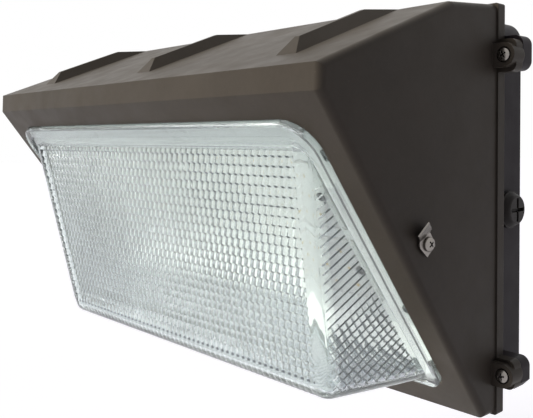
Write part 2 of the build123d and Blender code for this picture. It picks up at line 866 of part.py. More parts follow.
with BuildPart() as glass_refractor:
    # Raised rim in the window, with the floor inside it level with the face
    with BuildSketch(face_plane.offset(-clip_seat_depth)):
        add(glass_rim)
    extrude(amount=clip_seat_depth + glass_rim_height)
    with BuildSketch(face_plane):
        add(glass_rim_inside)
    extrude(amount=glass_rim_height, mode=Mode.SUBTRACT)
    rim_top = glass_refractor.faces().sort_by(Axis(brow, out_of_face))[-1]
    fillet(rim_top.edges(), radius=glass_rim_rounding)
    # Lip behind the housing wall
    with BuildSketch(face_plane.offset(-clip_seat_depth)):
        add(glass_lip_outline)
    extrude(amount=glass_lip_thickness)
    # Wedge and its hollow
    add(outer_wedge)
    with BuildSketch(face_plane.offset(-clip_seat_depth - 1)):
        add(glass_mouth)
    extrude(amount=clip_seat_depth + 1 + wedge_foot, mode=Mode.SUBTRACT)
    add(inner_wedge, mode=Mode.SUBTRACT)
save(glass_refractor.part, "glass_refractor")

gasket_hole = window_outline(window_gap + gasket_hole_gap)
gasket_outline = window_outline(glass_lip - gasket_edge_gap)
with BuildPart() as glass_gasket:
    with BuildSketch(face_plane.offset(-shell_wall - gasket_thickness)):
        add(gasket_outline)
        add(gasket_hole, mode=Mode.SUBTRACT)
    extrude(amount=gasket_thickness)
save(glass_gasket.part, "glass_gasket")

# ---------------------------------------------------------------- glass clips


def glass_clip(x, drop):
    """Spring plate from a boss beside the window onto the back of the glass's lip."""
    towards_glass = 1 if drop < glass_front_drop else -1
    seat = face_plane.offset(-clip_seat_depth)
    with BuildPart() as clip:
        with BuildSketch(seat):
            with Locations((x, -drop - towards_glass * clip_reach / 2)):
                RectangleRounded(clip_width, clip_length, clip_corner_radius)
            with Locations((x, -drop)):
                Circle(clip_screw_radius + clearance_gap, mode=Mode.SUBTRACT)
        extrude(amount=-clip_sheet)
    return clip.part


def clip_screw(x, drop):
    """Screw through a glass clip into its boss."""
    seat = face_seat(x, drop, clip_seat_depth + clip_sheet)
    return pan_head_screw(
        seat,
        clip_screw_radius,
        clip_screw_length,
        light_screw_head_radius,
        light_screw_head_height,
    )


clip_spots = [(x, drop) for x in clip_xs for drop in (upper_post_drop, lower_post_drop)]
save_group([glass_clip(x, drop) for x, drop in clip_spots], "glass_clips")
save_group([clip_screw(x, drop) for x, drop in clip_spots], "glass_clip_screws")

# ---------------------------------------------------------------- light engine

reflector_mouth = window_outline(-reflector_mouth_inset)
reflector_mouth_inner = window_outline(-reflector_mouth_inset - reflector_sheet)
reflector_lip = window_outline(reflector_lip_margin)
reflector_floor = rounded_outline(
    reflector_half_width,
    reflector_top,
    reflector_bottom,
    reflector_corner_radius,
    reflector_corner_radius,
)
reflector_floor_inner = rounded_outline(
    reflector_half_width - reflector_sheet,
    reflector_top + reflector_sheet,
    reflector_bottom - reflector_sheet,
    reflector_corner_radius - reflector_sheet,
    reflector_corner_radius - reflector_sheet,
)
reflector_screw_spots = [
    (side * reflector_screw_x, drop) for side in (-1, 1) for drop in reflector_screw_drops
]

# White sheet pan: lip behind the glass, flared walls, floor with a window for each board
with BuildPart() as reflector:
    with BuildSketch(face_plane.offset(-reflector_lip_depth)):
        add(reflector_mouth)
    with BuildSketch(face_plane.offset(-reflector_base_depth - reflector_sheet)):
        add(reflector_floor)
    loft()
    with BuildSketch(face_plane.offset(-reflector_lip_depth)):
        add(reflector_lip)
    extrude(amount=-reflector_sheet)
    with BuildSketch(face_plane.offset(-reflector_lip_depth)):
        add(reflector_mouth_inner)
    with BuildSketch(face_plane.offset(-reflector_base_depth)):
        add(reflector_floor_inner)
    loft(mode=Mode.SUBTRACT)
    with BuildSketch(face_plane.offset(-reflector_base_depth + 1)):
        with Locations(*[(0, -drop) for drop in board_drops]):
            Rectangle(board_length + board_opening_gap, board_width + board_opening_gap)
        with Locations(*[(x, -drop) for x, drop in reflector_screw_spots]):
            Circle(clip_screw_radius + screw_gap)
    extrude(amount=-reflector_sheet - 2, mode=Mode.SUBTRACT)
save(reflector.part, "reflector")


def board_screw_spots(drop):
    """Places of the three screws along a board's middle line."""
    return [(x, drop) for x in (-board_screw_x, 0, board_screw_x)]


all_board_screw_spots = [spot for drop in board_drops for spot in board_screw_spots(drop)]
plate_thread_spots = all_board_screw_spots + reflector_screw_spots

# Aluminium plate that carries the boards and spreads their heat
with BuildPart() as led_plate:
    with BuildSketch(face_plane.offset(-led_plate_depth)):
        with Locations((0, -(led_plate_top + led_plate_bottom) / 2)):
            RectangleRounded(
                2 * led_plate_half_width,
                led_plate_bottom - led_plate_top,
                led_plate_corner_radius,
            )
        with Locations(*post_places):
            Circle(plate_screw_radius + wide_clearance_gap, mode=Mode.SUBTRACT)
        with Locations(*[(x, -drop) for x, drop in plate_thread_spots]):
            Circle(clip_screw_radius + screw_gap, mode=Mode.SUBTRACT)
    extrude(amount=-led_plate_thickness)
save(led_plate.part, "led_plate")


def led_board(drop):
    """Printed board of one row of LEDs, lying on the plate."""
    with BuildPart() as board:
        with BuildSketch(face_plane.offset(-led_plate_depth)):
            with Locations((0, -drop)):
                Rectangle(board_length, board_width)
            with Locations(*[(x, -drop) for x, drop in board_screw_spots(drop)]):
                Circle(clip_screw_radius + clearance_gap, mode=Mode.SUBTRACT)
        extrude(amount=board_thickness)
    return board.part


def led_array(drop):
    """LEDs of one board, as separate square bodies."""
    with BuildPart() as leds:
        with BuildSketch(face_plane.offset(-led_plate_depth + board_thickness)):
            with Locations((0, -drop)):
                with GridLocations(led_pitch_x, led_pitch_y, led_columns, led_rows):
                    Rectangle(led_size, led_size)
        extrude(amount=led_height)
    return leds.part


for drop, place in zip(board_drops, ("upper", "lower")):
    save(led_board(drop), f"led_board_{place}")
    save(led_array(drop), f"leds_{place}")



def board_screw(x, drop, depth):
    """Short screw into the plate, with its head looking out through the glass."""
    return pan_head_screw(
        face_seat(x, drop, depth, True),
        clip_screw_radius,
        board_screw_length,
        light_screw_head_radius,
        light_screw_head_height,
    )


board_face_depth = led_plate_depth - board_thickness
save_group(
    [board_screw(x, drop, board_face_depth) for x, drop in all_board_screw_spots],
    "led_board_screws",
)
save_group(
    [board_screw(x, drop, reflector_base_depth) for x, drop in reflector_screw_spots],
    "reflector_screws",
)
save_group(
    [
        pan_head_screw(
            face_seat(x, -down, led_plate_depth + led_plate_thickness),
            plate_screw_radius,
            plate_screw_length,
            heavy_screw_head_radius,
            heavy_screw_head_height,
        )
        for x, down in post_places
    ],
    "led_plate_screws",
)

# ---------------------------------------------------------------- driver

# Sheet base with a foot at each end, screwed up into the deck bosses
with BuildPart() as driver_base:
    with BuildSketch(Plane.XY.offset(driver_top - driver_sheet)):
        with Locations((0, driver_y)):
            Rectangle(2 * driver_half_length, 2 * driver_half_depth)
            RectangleRounded(
                2 * (driver_foot_x + driver_foot_end), driver_foot_width, driver_foot_radius
            )
        with Locations(*driver_feet):
            Circle(plate_screw_radius + wide_clearance_gap, mode=Mode.SUBTRACT)
    extrude(amount=driver_sheet)
save(driver_base.part, "driver_base")

# Potted case under the base, closed by an end cap at each end
with BuildPart() as driver_case:
    with BuildSketch(Plane.YZ.offset(-driver_half_length + driver_cap)):
        with Locations((driver_y, driver_top - driver_sheet - driver_height / 2)):
            Rectangle(2 * driver_half_depth, driver_height)
    extrude(amount=2 * (driver_half_length - driver_cap))
    fillet(driver_case.edges().filter_by(Axis.X).group_by(Axis.Z)[0], radius=driver_case_radius)
save(driver_case.part, "driver_case")


def driver_end_cap(side):
    """End cap of the driver with a short grommet for its leads."""
    inner = Plane.YZ.offset(side * (driver_half_length - driver_cap))
    reach = side * driver_cap
    with BuildPart() as cap:
        with BuildSketch(inner):
            with Locations((driver_y, driver_top - driver_sheet - driver_height / 2)):
                Rectangle(
                    2 * (driver_half_depth - driver_cap_inset), driver_height - 2 * driver_cap_inset
                )
        extrude(amount=reach)
        with BuildSketch(inner):
            with Locations((driver_y, driver_top - driver_sheet - driver_height / 2)):
                Circle(grommet_radius)
        extrude(amount=2 * reach)
        with BuildSketch(inner):
            with Locations((driver_y, driver_top - driver_sheet - driver_height / 2)):
                Circle(grommet_bore_radius)
        extrude(amount=2 * reach, mode=Mode.SUBTRACT)
    return cap.part


save_group([driver_end_cap(1), driver_end_cap(-1)], "driver_end_caps")

save_group(
    [
        pan_head_screw(
            Plane(origin=(x, y, driver_top - driver_sheet), x_dir=(1, 0, 0), z_dir=(0, 0, -1)),
            plate_screw_radius,
            driver_screw_length,
            heavy_screw_head_radius,
            heavy_screw_head_height,
        )
        for x, y in driver_feet
    ],
    "driver_screws",
)

# ---------------------------------------------------------------- captive door screws


def door_screw(lug_z):
    """Screw with a relieved neck, held captive in its lug by the thread at its tip."""
    seat_y = joint_y - door_boss_reach + door_recess_depth
    seat = Plane(origin=(door_screw_x, seat_y, lug_z), x_dir=(1, 0, 0), z_dir=(0, -1, 0))
    neck_length = joint_y - seat_y + door_screw_thread_start
    blank = pan_head_screw(
        seat,
        door_screw_relief_radius,
        neck_length,
        door_screw_head_radius,
        door_screw_head_height,
    )
    with BuildPart() as screw:
        add(blank)
        with BuildSketch(Plane.XZ.offset(box_depth - door_screw_thread_start)):
            with Locations((door_screw_x, lug_z)):
                Circle(door_screw_radius)
        extrude(amount=-(door_screw_tip - door_screw_thread_start))
        chamfer(screw.faces().sort_by(Axis.Y)[-1].edges(), length=door_screw_tip_chamfer)
    return screw.part


save(door_screw(upper_lug_z), "door_screw_upper")
save(door_screw(lower_lug_z), "door_screw_lower")

# ---------------------------------------------------------------- side clip

# Small plate with a pointed foot and a blade bent out from its upper edge
bend_start = Vector(-6.7, 2.1)
bend_end = Vector(1.3, 6.0)
bend_direction = (bend_end - bend_start).normalized()
clip_seat = side_clip_plane.offset(side_clip_pad_height)
bend_axis = clip_seat.from_local_coords(bend_direction) - clip_seat.origin
flat_normal = side_panel_normal.normalized()
flat_rise = flat_normal.cross(bend_axis)
blade_plane = Plane(
    origin=clip_seat.from_local_coords(bend_start),
    x_dir=bend_axis,
    z_dir=flat_normal * cos(side_clip_bend) - flat_rise * sin(side_clip_bend),
)

with BuildPart() as side_clip:
    with BuildSketch(clip_seat):
        with BuildLine():
            Polyline(
                (-0.8, -6.6),
                (5.6, -1.6),
                (5.4, 1.2),
                (3.5, 2.8),
                (bend_end.X, bend_end.Y),
                (bend_start.X, bend_start.Y),
                (-7.0, 0.4),
                (-6.5, -1.5),
                close=True,
            )
        make_face()
    extrude(amount=side_clip_sheet)
    with BuildSketch(blade_plane):
        with BuildLine():
            Polyline((0, 0), (8.9, 0), (10.0, 1.9), (5.6, 9.6), (-2.4, 5.4), close=True)
        make_face()
    extrude(amount=side_clip_sheet)
    with BuildSketch(clip_seat):
        Circle(clip_screw_radius + side_clip_hole_gap)
    extrude(amount=side_clip_sheet, mode=Mode.SUBTRACT)
save(side_clip.part, "side_clip")

clip_screw_seat = clip_seat.offset(side_clip_sheet)
save(
    pan_head_screw(
        clip_screw_seat,
        clip_screw_radius,
        side_clip_screw_length,
        side_clip_screw_head_radius,
        side_clip_screw_head_height,
    ),
    "side_clip_screw",
)
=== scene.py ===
"""Looks of a wall pack light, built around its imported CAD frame.

The light is a shallow cast rear box and a hinged, wedge-shaped front housing with a pressed
prismatic glass. The CAD nodes with the right shape keep it and get their finishes here. The glass,
the door screws and the LEDs are built again with the detail of the real ones.

Lengths in the classes are in millimetres. They become metres where a mesh is made.
"""

import logging
import math
from dataclasses import dataclass, field
from enum import Enum, IntEnum
from typing import Iterable, Sequence

import bmesh
import bpy
import numpy as np
from mathutils import Matrix, Vector

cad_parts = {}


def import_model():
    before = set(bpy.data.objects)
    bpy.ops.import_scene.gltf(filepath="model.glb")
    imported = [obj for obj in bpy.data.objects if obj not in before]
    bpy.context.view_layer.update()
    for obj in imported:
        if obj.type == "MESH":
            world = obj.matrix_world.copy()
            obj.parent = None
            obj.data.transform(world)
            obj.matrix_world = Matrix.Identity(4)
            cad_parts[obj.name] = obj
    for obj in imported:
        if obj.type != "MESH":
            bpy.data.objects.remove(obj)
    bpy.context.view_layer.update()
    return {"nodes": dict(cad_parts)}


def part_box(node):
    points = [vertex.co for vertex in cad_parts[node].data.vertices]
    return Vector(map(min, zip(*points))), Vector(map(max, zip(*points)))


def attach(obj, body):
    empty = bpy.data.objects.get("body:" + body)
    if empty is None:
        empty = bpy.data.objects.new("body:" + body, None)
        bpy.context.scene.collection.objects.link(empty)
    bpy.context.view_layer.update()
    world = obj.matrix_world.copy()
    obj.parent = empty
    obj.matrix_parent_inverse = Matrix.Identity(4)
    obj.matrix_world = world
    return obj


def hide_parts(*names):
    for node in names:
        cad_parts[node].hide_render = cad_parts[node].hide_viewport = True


LOG = logging.getLogger("wall_pack_light")
MM = 0.001
NOISE_BAND = (0.3, 0.7)  # where the values of the noise mostly lie
CLOUD_BAND = (0.35, 0.65)  # narrower, for clouds with clearer borders
EDGE_BAND = (0.985, 0.86)  # cosine between rounded and plain normal: on flat ground, on an edge
SHELTER_BAND = (0.85, 0.35)  # open share of the surroundings: on open ground, in a deep corner
WAVE_PERIOD = 0.314  # length of a band of the wave texture at a scale of 1
NEAR_HALF = 0.499  # corner radius near the tip of the nose, as a share of the loop's width
Band = tuple[float, float]
Colour = tuple[float, float, float]
Shade = tuple[float, float, float, float]
Point = tuple[float, float, float]
Socket = bpy.types.NodeSocket
Thing = bpy.types.Object
Material = bpy.types.Material
Nodes = dict[str, Thing]


class Body(Enum):
    """Moving bodies of the light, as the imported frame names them."""

    FRONT_DOOR = "front_door"
    UPPER_SCREW = "upper_door_screw"
    LOWER_SCREW = "lower_door_screw"


class GlassZone(IntEnum):
    """Zones of the pressed glass, numbered in the order of its materials."""

    FRONT = 0
    WALL = 1
    ROOT = 2
    GROOVE = 3


# ------------------------------------------------------------------------------ finishes


def shade(colour: Colour, level: float = 1.0) -> Shade:
    """Linear colour of an sRGB shade.

    Args:
        colour: Red, green and blue from 0 to 255.
        level: Factor on the linear value.

    Returns:
        Red, green, blue and an alpha of 1, linear.
    """
    linear = []
    for part in colour:
        share = part / 255
        value = share / 12.92 if share <= 0.04045 else ((share + 0.055) / 1.055) ** 2.4
        linear.append(min(1.0, value * level))
    return (linear[0], linear[1], linear[2], 1.0)


class FinishTree:
    """Node tree of one finish, with a short call for each kind of node that finishes share."""

    def __init__(self, name: str) -> None:
        """Start a material with a surface shader and nothing else.

        Args:
            name: Name of the material.
        """
        self.material = bpy.data.materials.new(name)
        self.material.use_nodes = True
        self.tree = self.material.node_tree
        self.tree.nodes.clear()
        self.surface = self.tree.nodes.new("ShaderNodeBsdfPrincipled")
        self.output = self.tree.nodes.new("ShaderNodeOutputMaterial")
        self.join(self.surface.outputs["BSDF"], self.output.inputs["Surface"])
        self.place = self.node("ShaderNodeTexCoord", "Object", {})

    def join(self, source: Socket, target: Socket) -> None:
        """Link an output to an input."""
        self.tree.links.new(source, target)

    def node(self, kind: str, output: str | int, inputs: dict, **options: str | int) -> Socket:
        """Add a node with its inputs linked or set.

        Args:
            kind: Kind of node.
            output: Name or number of the output that is wanted.
            inputs: For inputs by name or number, the output that feeds it or its plain value.
            **options: Settings of the node itself.

        Returns:
            The wanted output.
        """
        node = self.tree.nodes.new(kind)
        for name, option in options.items():
            setattr(node, name, option)
        for name, value in inputs.items():
            if isinstance(value, Socket):
                self.join(value, node.inputs[name])
            else:
                node.inputs[name].default_value = value
        return node.outputs[output]

    def fix(self, **values: float) -> None:
        """Set plain numbers on the surface shader, named with underscores for spaces."""
        for name, value in values.items():
            self.surface.inputs[name.replace("_", " ")].default_value = value

    def feed(self, socket: str, source: Socket) -> None:
        """Link an output to a named input of the surface shader."""
        self.join(source, self.surface.inputs[socket])

    def stretched(self, stretch: Sequence[float]) -> Socket:
        """Place coordinates scaled along each axis; a small factor draws the pattern out."""
        return self.node("ShaderNodeMapping", "Vector", {"Vector": self.place, "Scale": stretch})

    def noise(self, grain: float, detail: float, place: Socket | None = None) -> Socket:
        """Cloudy noise of about 0.3 to 0.7, with clouds of a size in millimetres."""
        inputs = {"Vector": place or self.place, "Scale": 1 / (grain * MM), "Detail": detail}
        return self.node("ShaderNodeTexNoise", "Fac", inputs)

    def span(self, value: Socket, start: float, end: float, low: float, high: float) -> Socket:
        """Map a value from the range start to end onto the range low to high, clamped."""
        ends = {"From Min": start, "From Max": end, "To Min": low, "To Max": high}
        return self.node("ShaderNodeMapRange", "Result", {"Value": value, **ends})

    def patches(
        self, grain: float, detail: float, low: float = 0, high: float = 1, band: Band = NOISE_BAND
    ) -> Socket:
        """Cloudy noise with one band of its values stretched to run from low to high."""
        return self.span(self.noise(grain, detail), *band, low, high)

    def specks(self, spacing: float, size: float, share: float) -> Socket:
        """Scattered dots, their spacing in millimetres and their radius in spacings."""
        inputs = {"Vector": self.place, "Scale": 1 / (spacing * MM)}
        cells = self.node("ShaderNodeTexVoronoi", "Distance", inputs)
        return self.span(cells, size, size * 2 / 3, 0, share)

    def times(self, first: Socket, second: Socket | float) -> Socket:
        """Product of a value and another value or number."""
        return self.node("ShaderNodeMath", "Value", {0: first, 1: second}, operation="MULTIPLY")

    def blend(self, share: Socket, first: Socket | Shade, second: Socket | Shade) -> Socket:
        """Blend two colours; a share of 0 gives the first and 1 the second."""
        inputs = {0: share, 6: first, 7: second}
        return self.node("ShaderNodeMix", 2, inputs, data_type="RGBA")

    def drift(self, colour: Colour, grain: float, detail: float, low: float, high: float) -> Socket:
        """Colour that drifts between two of its levels in soft clouds."""
        clouds = self.patches(grain, detail, band=CLOUD_BAND)
        return self.blend(clouds, shade(colour, low), shade(colour, high))

    def shaded_in_recesses(self, ground: Socket, reach: float, share: float, shade_tone: Shade) -> Socket:
        """Colour with painted shade that darkens corners and recesses as large as a reach in
        millimetres.
        """
        return self.blend(self.times(self.painted_shade_mask(reach), share), ground, shade_tone)

    def rubbed(self, ground: Socket, reach: float, patch: Socket, worn: Shade) -> Socket:
        """Colour with patches rubbed through within a reach of sharp edges, in millimetres."""
        return self.blend(self.times(self.edges(reach), patch), ground, worn)

    def round_normal(self, radius: float) -> Socket:
        """Normal that rounds sharp edges over a radius in millimetres."""
        return self.node("ShaderNodeBevel", "Normal", {"Radius": radius * MM}, samples=4)

    def edges(self, radius: float) -> Socket:
        """Mask that is 1 within a radius of sharp edges, in millimetres, and 0 on flat ground.

        Args:
            radius: Reach of the mask from the edge.

        Returns:
            The mask.
        """
        plain = self.node("ShaderNodeNewGeometry", "Normal", {})
        inputs = {0: self.round_normal(radius), 1: plain}
        dot = self.node("ShaderNodeVectorMath", "Value", inputs, operation="DOT_PRODUCT")
        return self.span(dot, *EDGE_BAND, 0.0, 1.0)

    def painted_shade_mask(self, reach: float) -> Socket:
        """Mask of painted shade from ambient occlusion: 1 in corners and recesses of a size in
        millimetres, 0 on open ground.
        """
        inputs = {"Distance": reach * MM}
        open_share = self.node("ShaderNodeAmbientOcclusion", "AO", inputs, samples=6)
        return self.span(open_share, *SHELTER_BAND, 0.0, 1.0)

    def bump(self, height: Socket, depth: float, normal: Socket | None = None) -> Socket:
        """Relief from a height value.

        Args:
            height: The height, from 0 to 1.
            depth: Depth of the relief in millimetres.
            normal: Normal that the relief stands on.

        Returns:
            The normal with the relief.
        """
        inputs = {"Distance": depth * MM, "Height": height}
        if normal is not None:
            inputs["Normal"] = normal
        return self.node("ShaderNodeBump", "Normal", inputs)



@dataclass(frozen=True)
class PowderCoat:
    """Satin powder coat over a casting, worn a little along its edges, with painted shade in its
    corners and recesses.
    """

    name: str
    colour: Colour
    worn: Colour
    roughness: float = 0.5
    specular: float = 0.3
    cloud: float = 46.0
    mottle: float = 3.2
    speck: float = 9.0
    recess: float = 4.0
    rub: float = 6.0
    rub_band: Band = (0.42, 0.68)
    sheen: float = 14.0
    swell: float = 26.0
    swell_depth: float = 0.12
    peel: float = 1.1
    peel_depth: float = 0.014
    edge: float = 0.5

    def make(self) -> Material:
        """Build the material.

        Returns:
            The finished material.
        """
        tree = FinishTree(self.name)
        ground = tree.drift(self.colour, self.cloud, 3, 0.92, 1.08)
        mottle = tree.patches(self.mottle, 6, high=0.3)
        ground = tree.blend(mottle, ground, shade(self.colour, 1.22))
        ground = tree.blend(tree.specks(self.speck, 0.045, 0.55), ground, shade(self.worn))
        # Painted shade: corners and recesses darkened by ambient occlusion.
        ground = tree.shaded_in_recesses(ground, self.recess, 0.6, shade(self.colour, 0.35))
        rub = tree.patches(self.rub, 5, high=0.6, band=self.rub_band)
        tree.feed("Base Color", tree.rubbed(ground, self.edge, rub, shade(self.worn)))
        smooth, rough = self.roughness - 0.05, self.roughness + 0.06
        tree.feed("Roughness", tree.patches(self.sheen, 5, smooth, rough))
        swell = tree.noise(self.swell, 2)
        relief = tree.bump(swell, self.swell_depth, tree.round_normal(self.edge))
        tree.feed("Normal", tree.bump(tree.noise(self.peel, 3), self.peel_depth, relief))
        tree.fix(Specular_IOR_Level=self.specular)
        return tree.material


@dataclass(frozen=True)
class PressedGlass:
    """Pressed borosilicate glass with faint waves and cords, and painted shade in its grooves and
    recesses.
    """

    name: str
    tint: Colour = (234, 243, 243)
    recess_shade_colour: Colour = (118, 120, 126)
    recess_shade_reach: float = 1.3
    recess_shade_share: float = 0.75
    roughness: float = 0.05
    index: float = 1.47
    clearness: float = 0.9
    cloud: float = 60.0
    sheen: float = 8.0
    wave: float = 7.0
    wave_depth: float = 0.05

    def make(self) -> Material:
        """Build the material.

        Returns:
            The finished material.
        """
        tree = FinishTree(self.name)
        ground = tree.drift(self.tint, self.cloud, 3, 1.0, 0.93)
        # Painted shade: grooves and recesses darkened by ambient occlusion.
        recess_shade_colour = shade(self.recess_shade_colour)
        tree.feed("Base Color", tree.shaded_in_recesses(ground, self.recess_shade_reach, self.recess_shade_share, recess_shade_colour))
        smooth, rough = self.roughness * 0.6, self.roughness * 1.8
        tree.feed("Roughness", tree.patches(self.sheen, 4, smooth, rough))
        tree.feed("Normal", tree.bump(tree.noise(self.wave, 3), self.wave_depth))
        tree.fix(Transmission_Weight=self.clearness, IOR=self.index)
        return tree.material


@dataclass(frozen=True)
class PlainMetal:
    """Bare or plated metal with fine drawn lines, smudges, and painted shade in its recesses."""

    name: str
    colour: Colour
    roughness: float = 0.25
    line: float = 1.2
    line_stretch: Point = (0.06, 1.0, 1.0)
    line_depth: float = 0.004
    smudge: float = 11.0
    smudge_band: Band = (0.35, 0.7)
    recess: float = 1.6
    sheen: float = 5.0
    sheen_range: float = 0.12
    edge: float = 0.15

    def make(self) -> Material:
        """Build the material.

        Returns:
            The finished material.
        """
        tree = FinishTree(self.name)
        lines = tree.noise(self.line, 4, tree.stretched(self.line_stretch))
        smudges = tree.patches(self.smudge, 5, band=self.smudge_band)
        ground = tree.blend(smudges, shade(self.colour, 1.04), shade(self.colour, 0.8))
        streaks = tree.span(lines, *NOISE_BAND, 0, 0.35)
        ground = tree.blend(streaks, ground, shade(self.colour, 0.72))
        # Painted shade: recesses darkened almost to black by ambient occlusion.
        recess_shade_colour = shade(self.colour, 0.12)
        tree.feed("Base Color", tree.shaded_in_recesses(ground, self.recess, 0.85, recess_shade_colour))
        rough = self.roughness + self.sheen_range
        tree.feed("Roughness", tree.patches(self.sheen, 5, self.roughness, rough))
        tree.feed("Normal", tree.bump(lines, self.line_depth, tree.round_normal(self.edge)))
        tree.fix(Metallic=1.0)
        return tree.material


@dataclass(frozen=True)
class Enamel:
    """Smooth baked enamel or glazed ceramic."""

    name: str
    colour: Colour
    roughness: float = 0.3
    cloud: float = 40.0
    dust: float = 5.0
    sheen: float = 9.0
    peel: float = 1.6
    peel_depth: float = 0.01
    edge: float = 0.3

    def make(self) -> Material:
        """Build the material.

        Returns:
            The finished material.
        """
        tree = FinishTree(self.name)
        ground = tree.drift(self.colour, self.cloud, 4, 1.0, 0.95)
        dust = tree.specks(self.dust, 0.06, 0.35)
        tree.feed("Base Color", tree.blend(dust, ground, shade(self.colour, 0.6)))
        smooth, rough = self.roughness - 0.05, self.roughness + 0.08
        tree.feed("Roughness", tree.patches(self.sheen, 4, smooth, rough))
        peel = tree.noise(self.peel, 3)
        tree.feed("Normal", tree.bump(peel, self.peel_depth, tree.round_normal(self.edge)))
        return tree.material


@dataclass(frozen=True)
class Moulded:
    """Matt moulded rubber or plastic with a fine spark-eroded grain."""

    name: str
    colour: Colour
    roughness: float = 0.65
    cloud: float = 12.0
    rub: float = 3.0
    rub_band: Band = (0.4, 0.7)
    rub_reach: float = 0.3
    sheen: float = 2.0
    sheen_range: float = 0.1
    grain: float = 0.35
    grain_depth: float = 0.012
    edge: float = 0.25

    def make(self) -> Material:
        """Build the material.

        Returns:
            The finished material.
        """
        tree = FinishTree(self.name)
        ground = tree.drift(self.colour, self.cloud, 4, 0.88, 1.12)
        rub = tree.patches(self.rub, 4, high=0.5, band=self.rub_band)
        pale = shade(self.colour, 1.7)
        tree.feed("Base Color", tree.rubbed(ground, self.rub_reach, rub, pale))
        smooth, rough = self.roughness - self.sheen_range, self.roughness + self.sheen_range
        tree.feed("Roughness", tree.patches(self.sheen, 4, smooth, rough))
        grain = tree.noise(self.grain, 2)
        tree.feed("Normal", tree.bump(grain, self.grain_depth, tree.round_normal(self.edge)))
        return tree.material


@dataclass(frozen=True)
class BoardMask:
    """White solder mask with the faint relief of the copper under it."""

    name: str
    colour: Colour = (243, 243, 239)
    track: float = 4.75
    track_depth: float = 0.03
    track_band: Band = (0.12, 0.2)
    cloud: float = 15.0
    sheen: float = 4.0
    smooth: float = 0.32
    rough: float = 0.45

    def make(self) -> Material:
        """Build the material.

        Returns:
            The finished material.
        """
        tree = FinishTree(self.name)
        inputs = {"Vector": tree.place, "Scale": WAVE_PERIOD / (self.track * MM)}
        options = {"bands_direction": "X", "wave_profile": "SIN"}
        wave = tree.node("ShaderNodeTexWave", "Fac", inputs, **options)
        tracks = tree.span(wave, *self.track_band, 0, 1)
        ground = tree.blend(tracks, shade(self.colour, 0.86), shade(self.colour))
        clouds = tree.patches(self.cloud, 4, high=0.4, band=CLOUD_BAND)
        tree.feed("Base Color", tree.blend(clouds, ground, shade(self.colour, 0.93)))
        tree.feed("Roughness", tree.patches(self.sheen, 3, self.smooth, self.rough))
        tree.feed("Normal", tree.bump(tracks, self.track_depth))
        return tree.material


@dataclass(frozen=True)
class Phosphor:
    """Yellow phosphor under a clear silicone lens."""

    name: str
    colour: Colour = (236, 190, 40)
    grain: float = 0.25
    grain_depth: float = 0.01
    sheen: float = 1.0
    smooth: float = 0.35
    rough: float = 0.5
    lens_roughness: float = 0.06

    def make(self) -> Material:
        """Build the material.

        Returns:
            The finished material.
        """
        tree = FinishTree(self.name)
        grains = tree.patches(self.grain, 4)
        tree.feed("Base Color", tree.blend(grains, shade(self.colour), shade(self.colour, 0.75)))
        tree.feed("Roughness", tree.patches(self.sheen, 3, self.smooth, self.rough))
        tree.feed("Normal", tree.bump(grains, self.grain_depth))
        tree.fix(Coat_Weight=1.0, Coat_Roughness=self.lens_roughness)
        return tree.material


Finish = PowderCoat | PressedGlass | PlainMetal | Enamel | Moulded | BoardMask | Phosphor


@dataclass(frozen=True)
class Finishes:
    """All finishes of the light."""

    bronze: Finish = PowderCoat("dark_bronze_powder_coat", (76, 70, 62), (96, 89, 81), 0.46, 0.14)
    # Painted shade: the rear box has the front housing's powder coat, given here as a darker copy
    # because it lies in shade.
    painted_shade_box_bronze: Finish = PowderCoat("rear_box_powder_coat_painted_shade", (42, 37, 40), (70, 66, 65), 0.5, 0.14)
    plug_bronze: Finish = PowderCoat("plug_powder_coat", (42, 38, 36), (98, 92, 86), 0.5, 0.22)
    glass: Finish = PressedGlass("pressed_prismatic_glass")
    # Painted shade: these glass tints are darker than the glass itself and stand in for dark
    # surroundings seen through its walls, prism roots and grooves.
    painted_shade_wall_glass: Finish = PressedGlass("pressed_wall_glass_painted_shade", (202, 207, 211))
    painted_shade_root_glass: Finish = PressedGlass("pressed_root_glass_painted_shade", (78, 82, 90), clearness=0.65)
    painted_shade_groove_glass: Finish = PressedGlass("pressed_groove_glass_painted_shade", (118, 124, 127), clearness=0.8)
    nickel: Finish = PlainMetal("bright_nickel_plate", (142, 137, 132), 0.22)
    steel: Finish = PlainMetal("plain_stainless_steel", (164, 163, 160), 0.3)
    aluminium: Finish = PlainMetal("rolled_aluminium", (190, 192, 194), 0.34, line_depth=0.006)
    enamel: Finish = Enamel("white_reflector_enamel", (246, 247, 244))
    ceramic: Finish = Enamel("white_led_ceramic", (232, 230, 222), 0.4)
    silicone: Finish = Moulded("grey_silicone", (104, 106, 108))
    nylon: Finish = Moulded("black_nylon", (34, 34, 35), 0.5)
    green: Finish = PowderCoat("green_ground_screw", (26, 110, 46), (150, 150, 130), 0.4)
    board: Finish = BoardMask("white_solder_mask")
    phosphor: Finish = Phosphor("yellow_phosphor")


@dataclass
class Workshop:
    """Makes each finish once and dresses the frame's nodes in it."""

    nodes: Nodes
    finishes: Finishes = field(default_factory=Finishes)
    made: dict[str, Material] = field(default_factory=dict)

    def material(self, finish: Finish) -> Material:
        """Material of a finish, made on its first use."""
        if finish.name not in self.made:
            self.made[finish.name] = finish.make()
        return self.made[finish.name]

    def dress(self, names: Iterable[str], finish: Finish) -> None:
        """Give carried-over CAD nodes their finish.

        Args:
            names: Names of the nodes to dress.
            finish: Their finish.
        """
        for name in names:
            for slot in self.nodes[name].material_slots:
                slot.material = self.material(finish)
            LOG.info("dressed %s in %s", name, finish.name)


# ------------------------------------------------------------------------------ mesh helpers


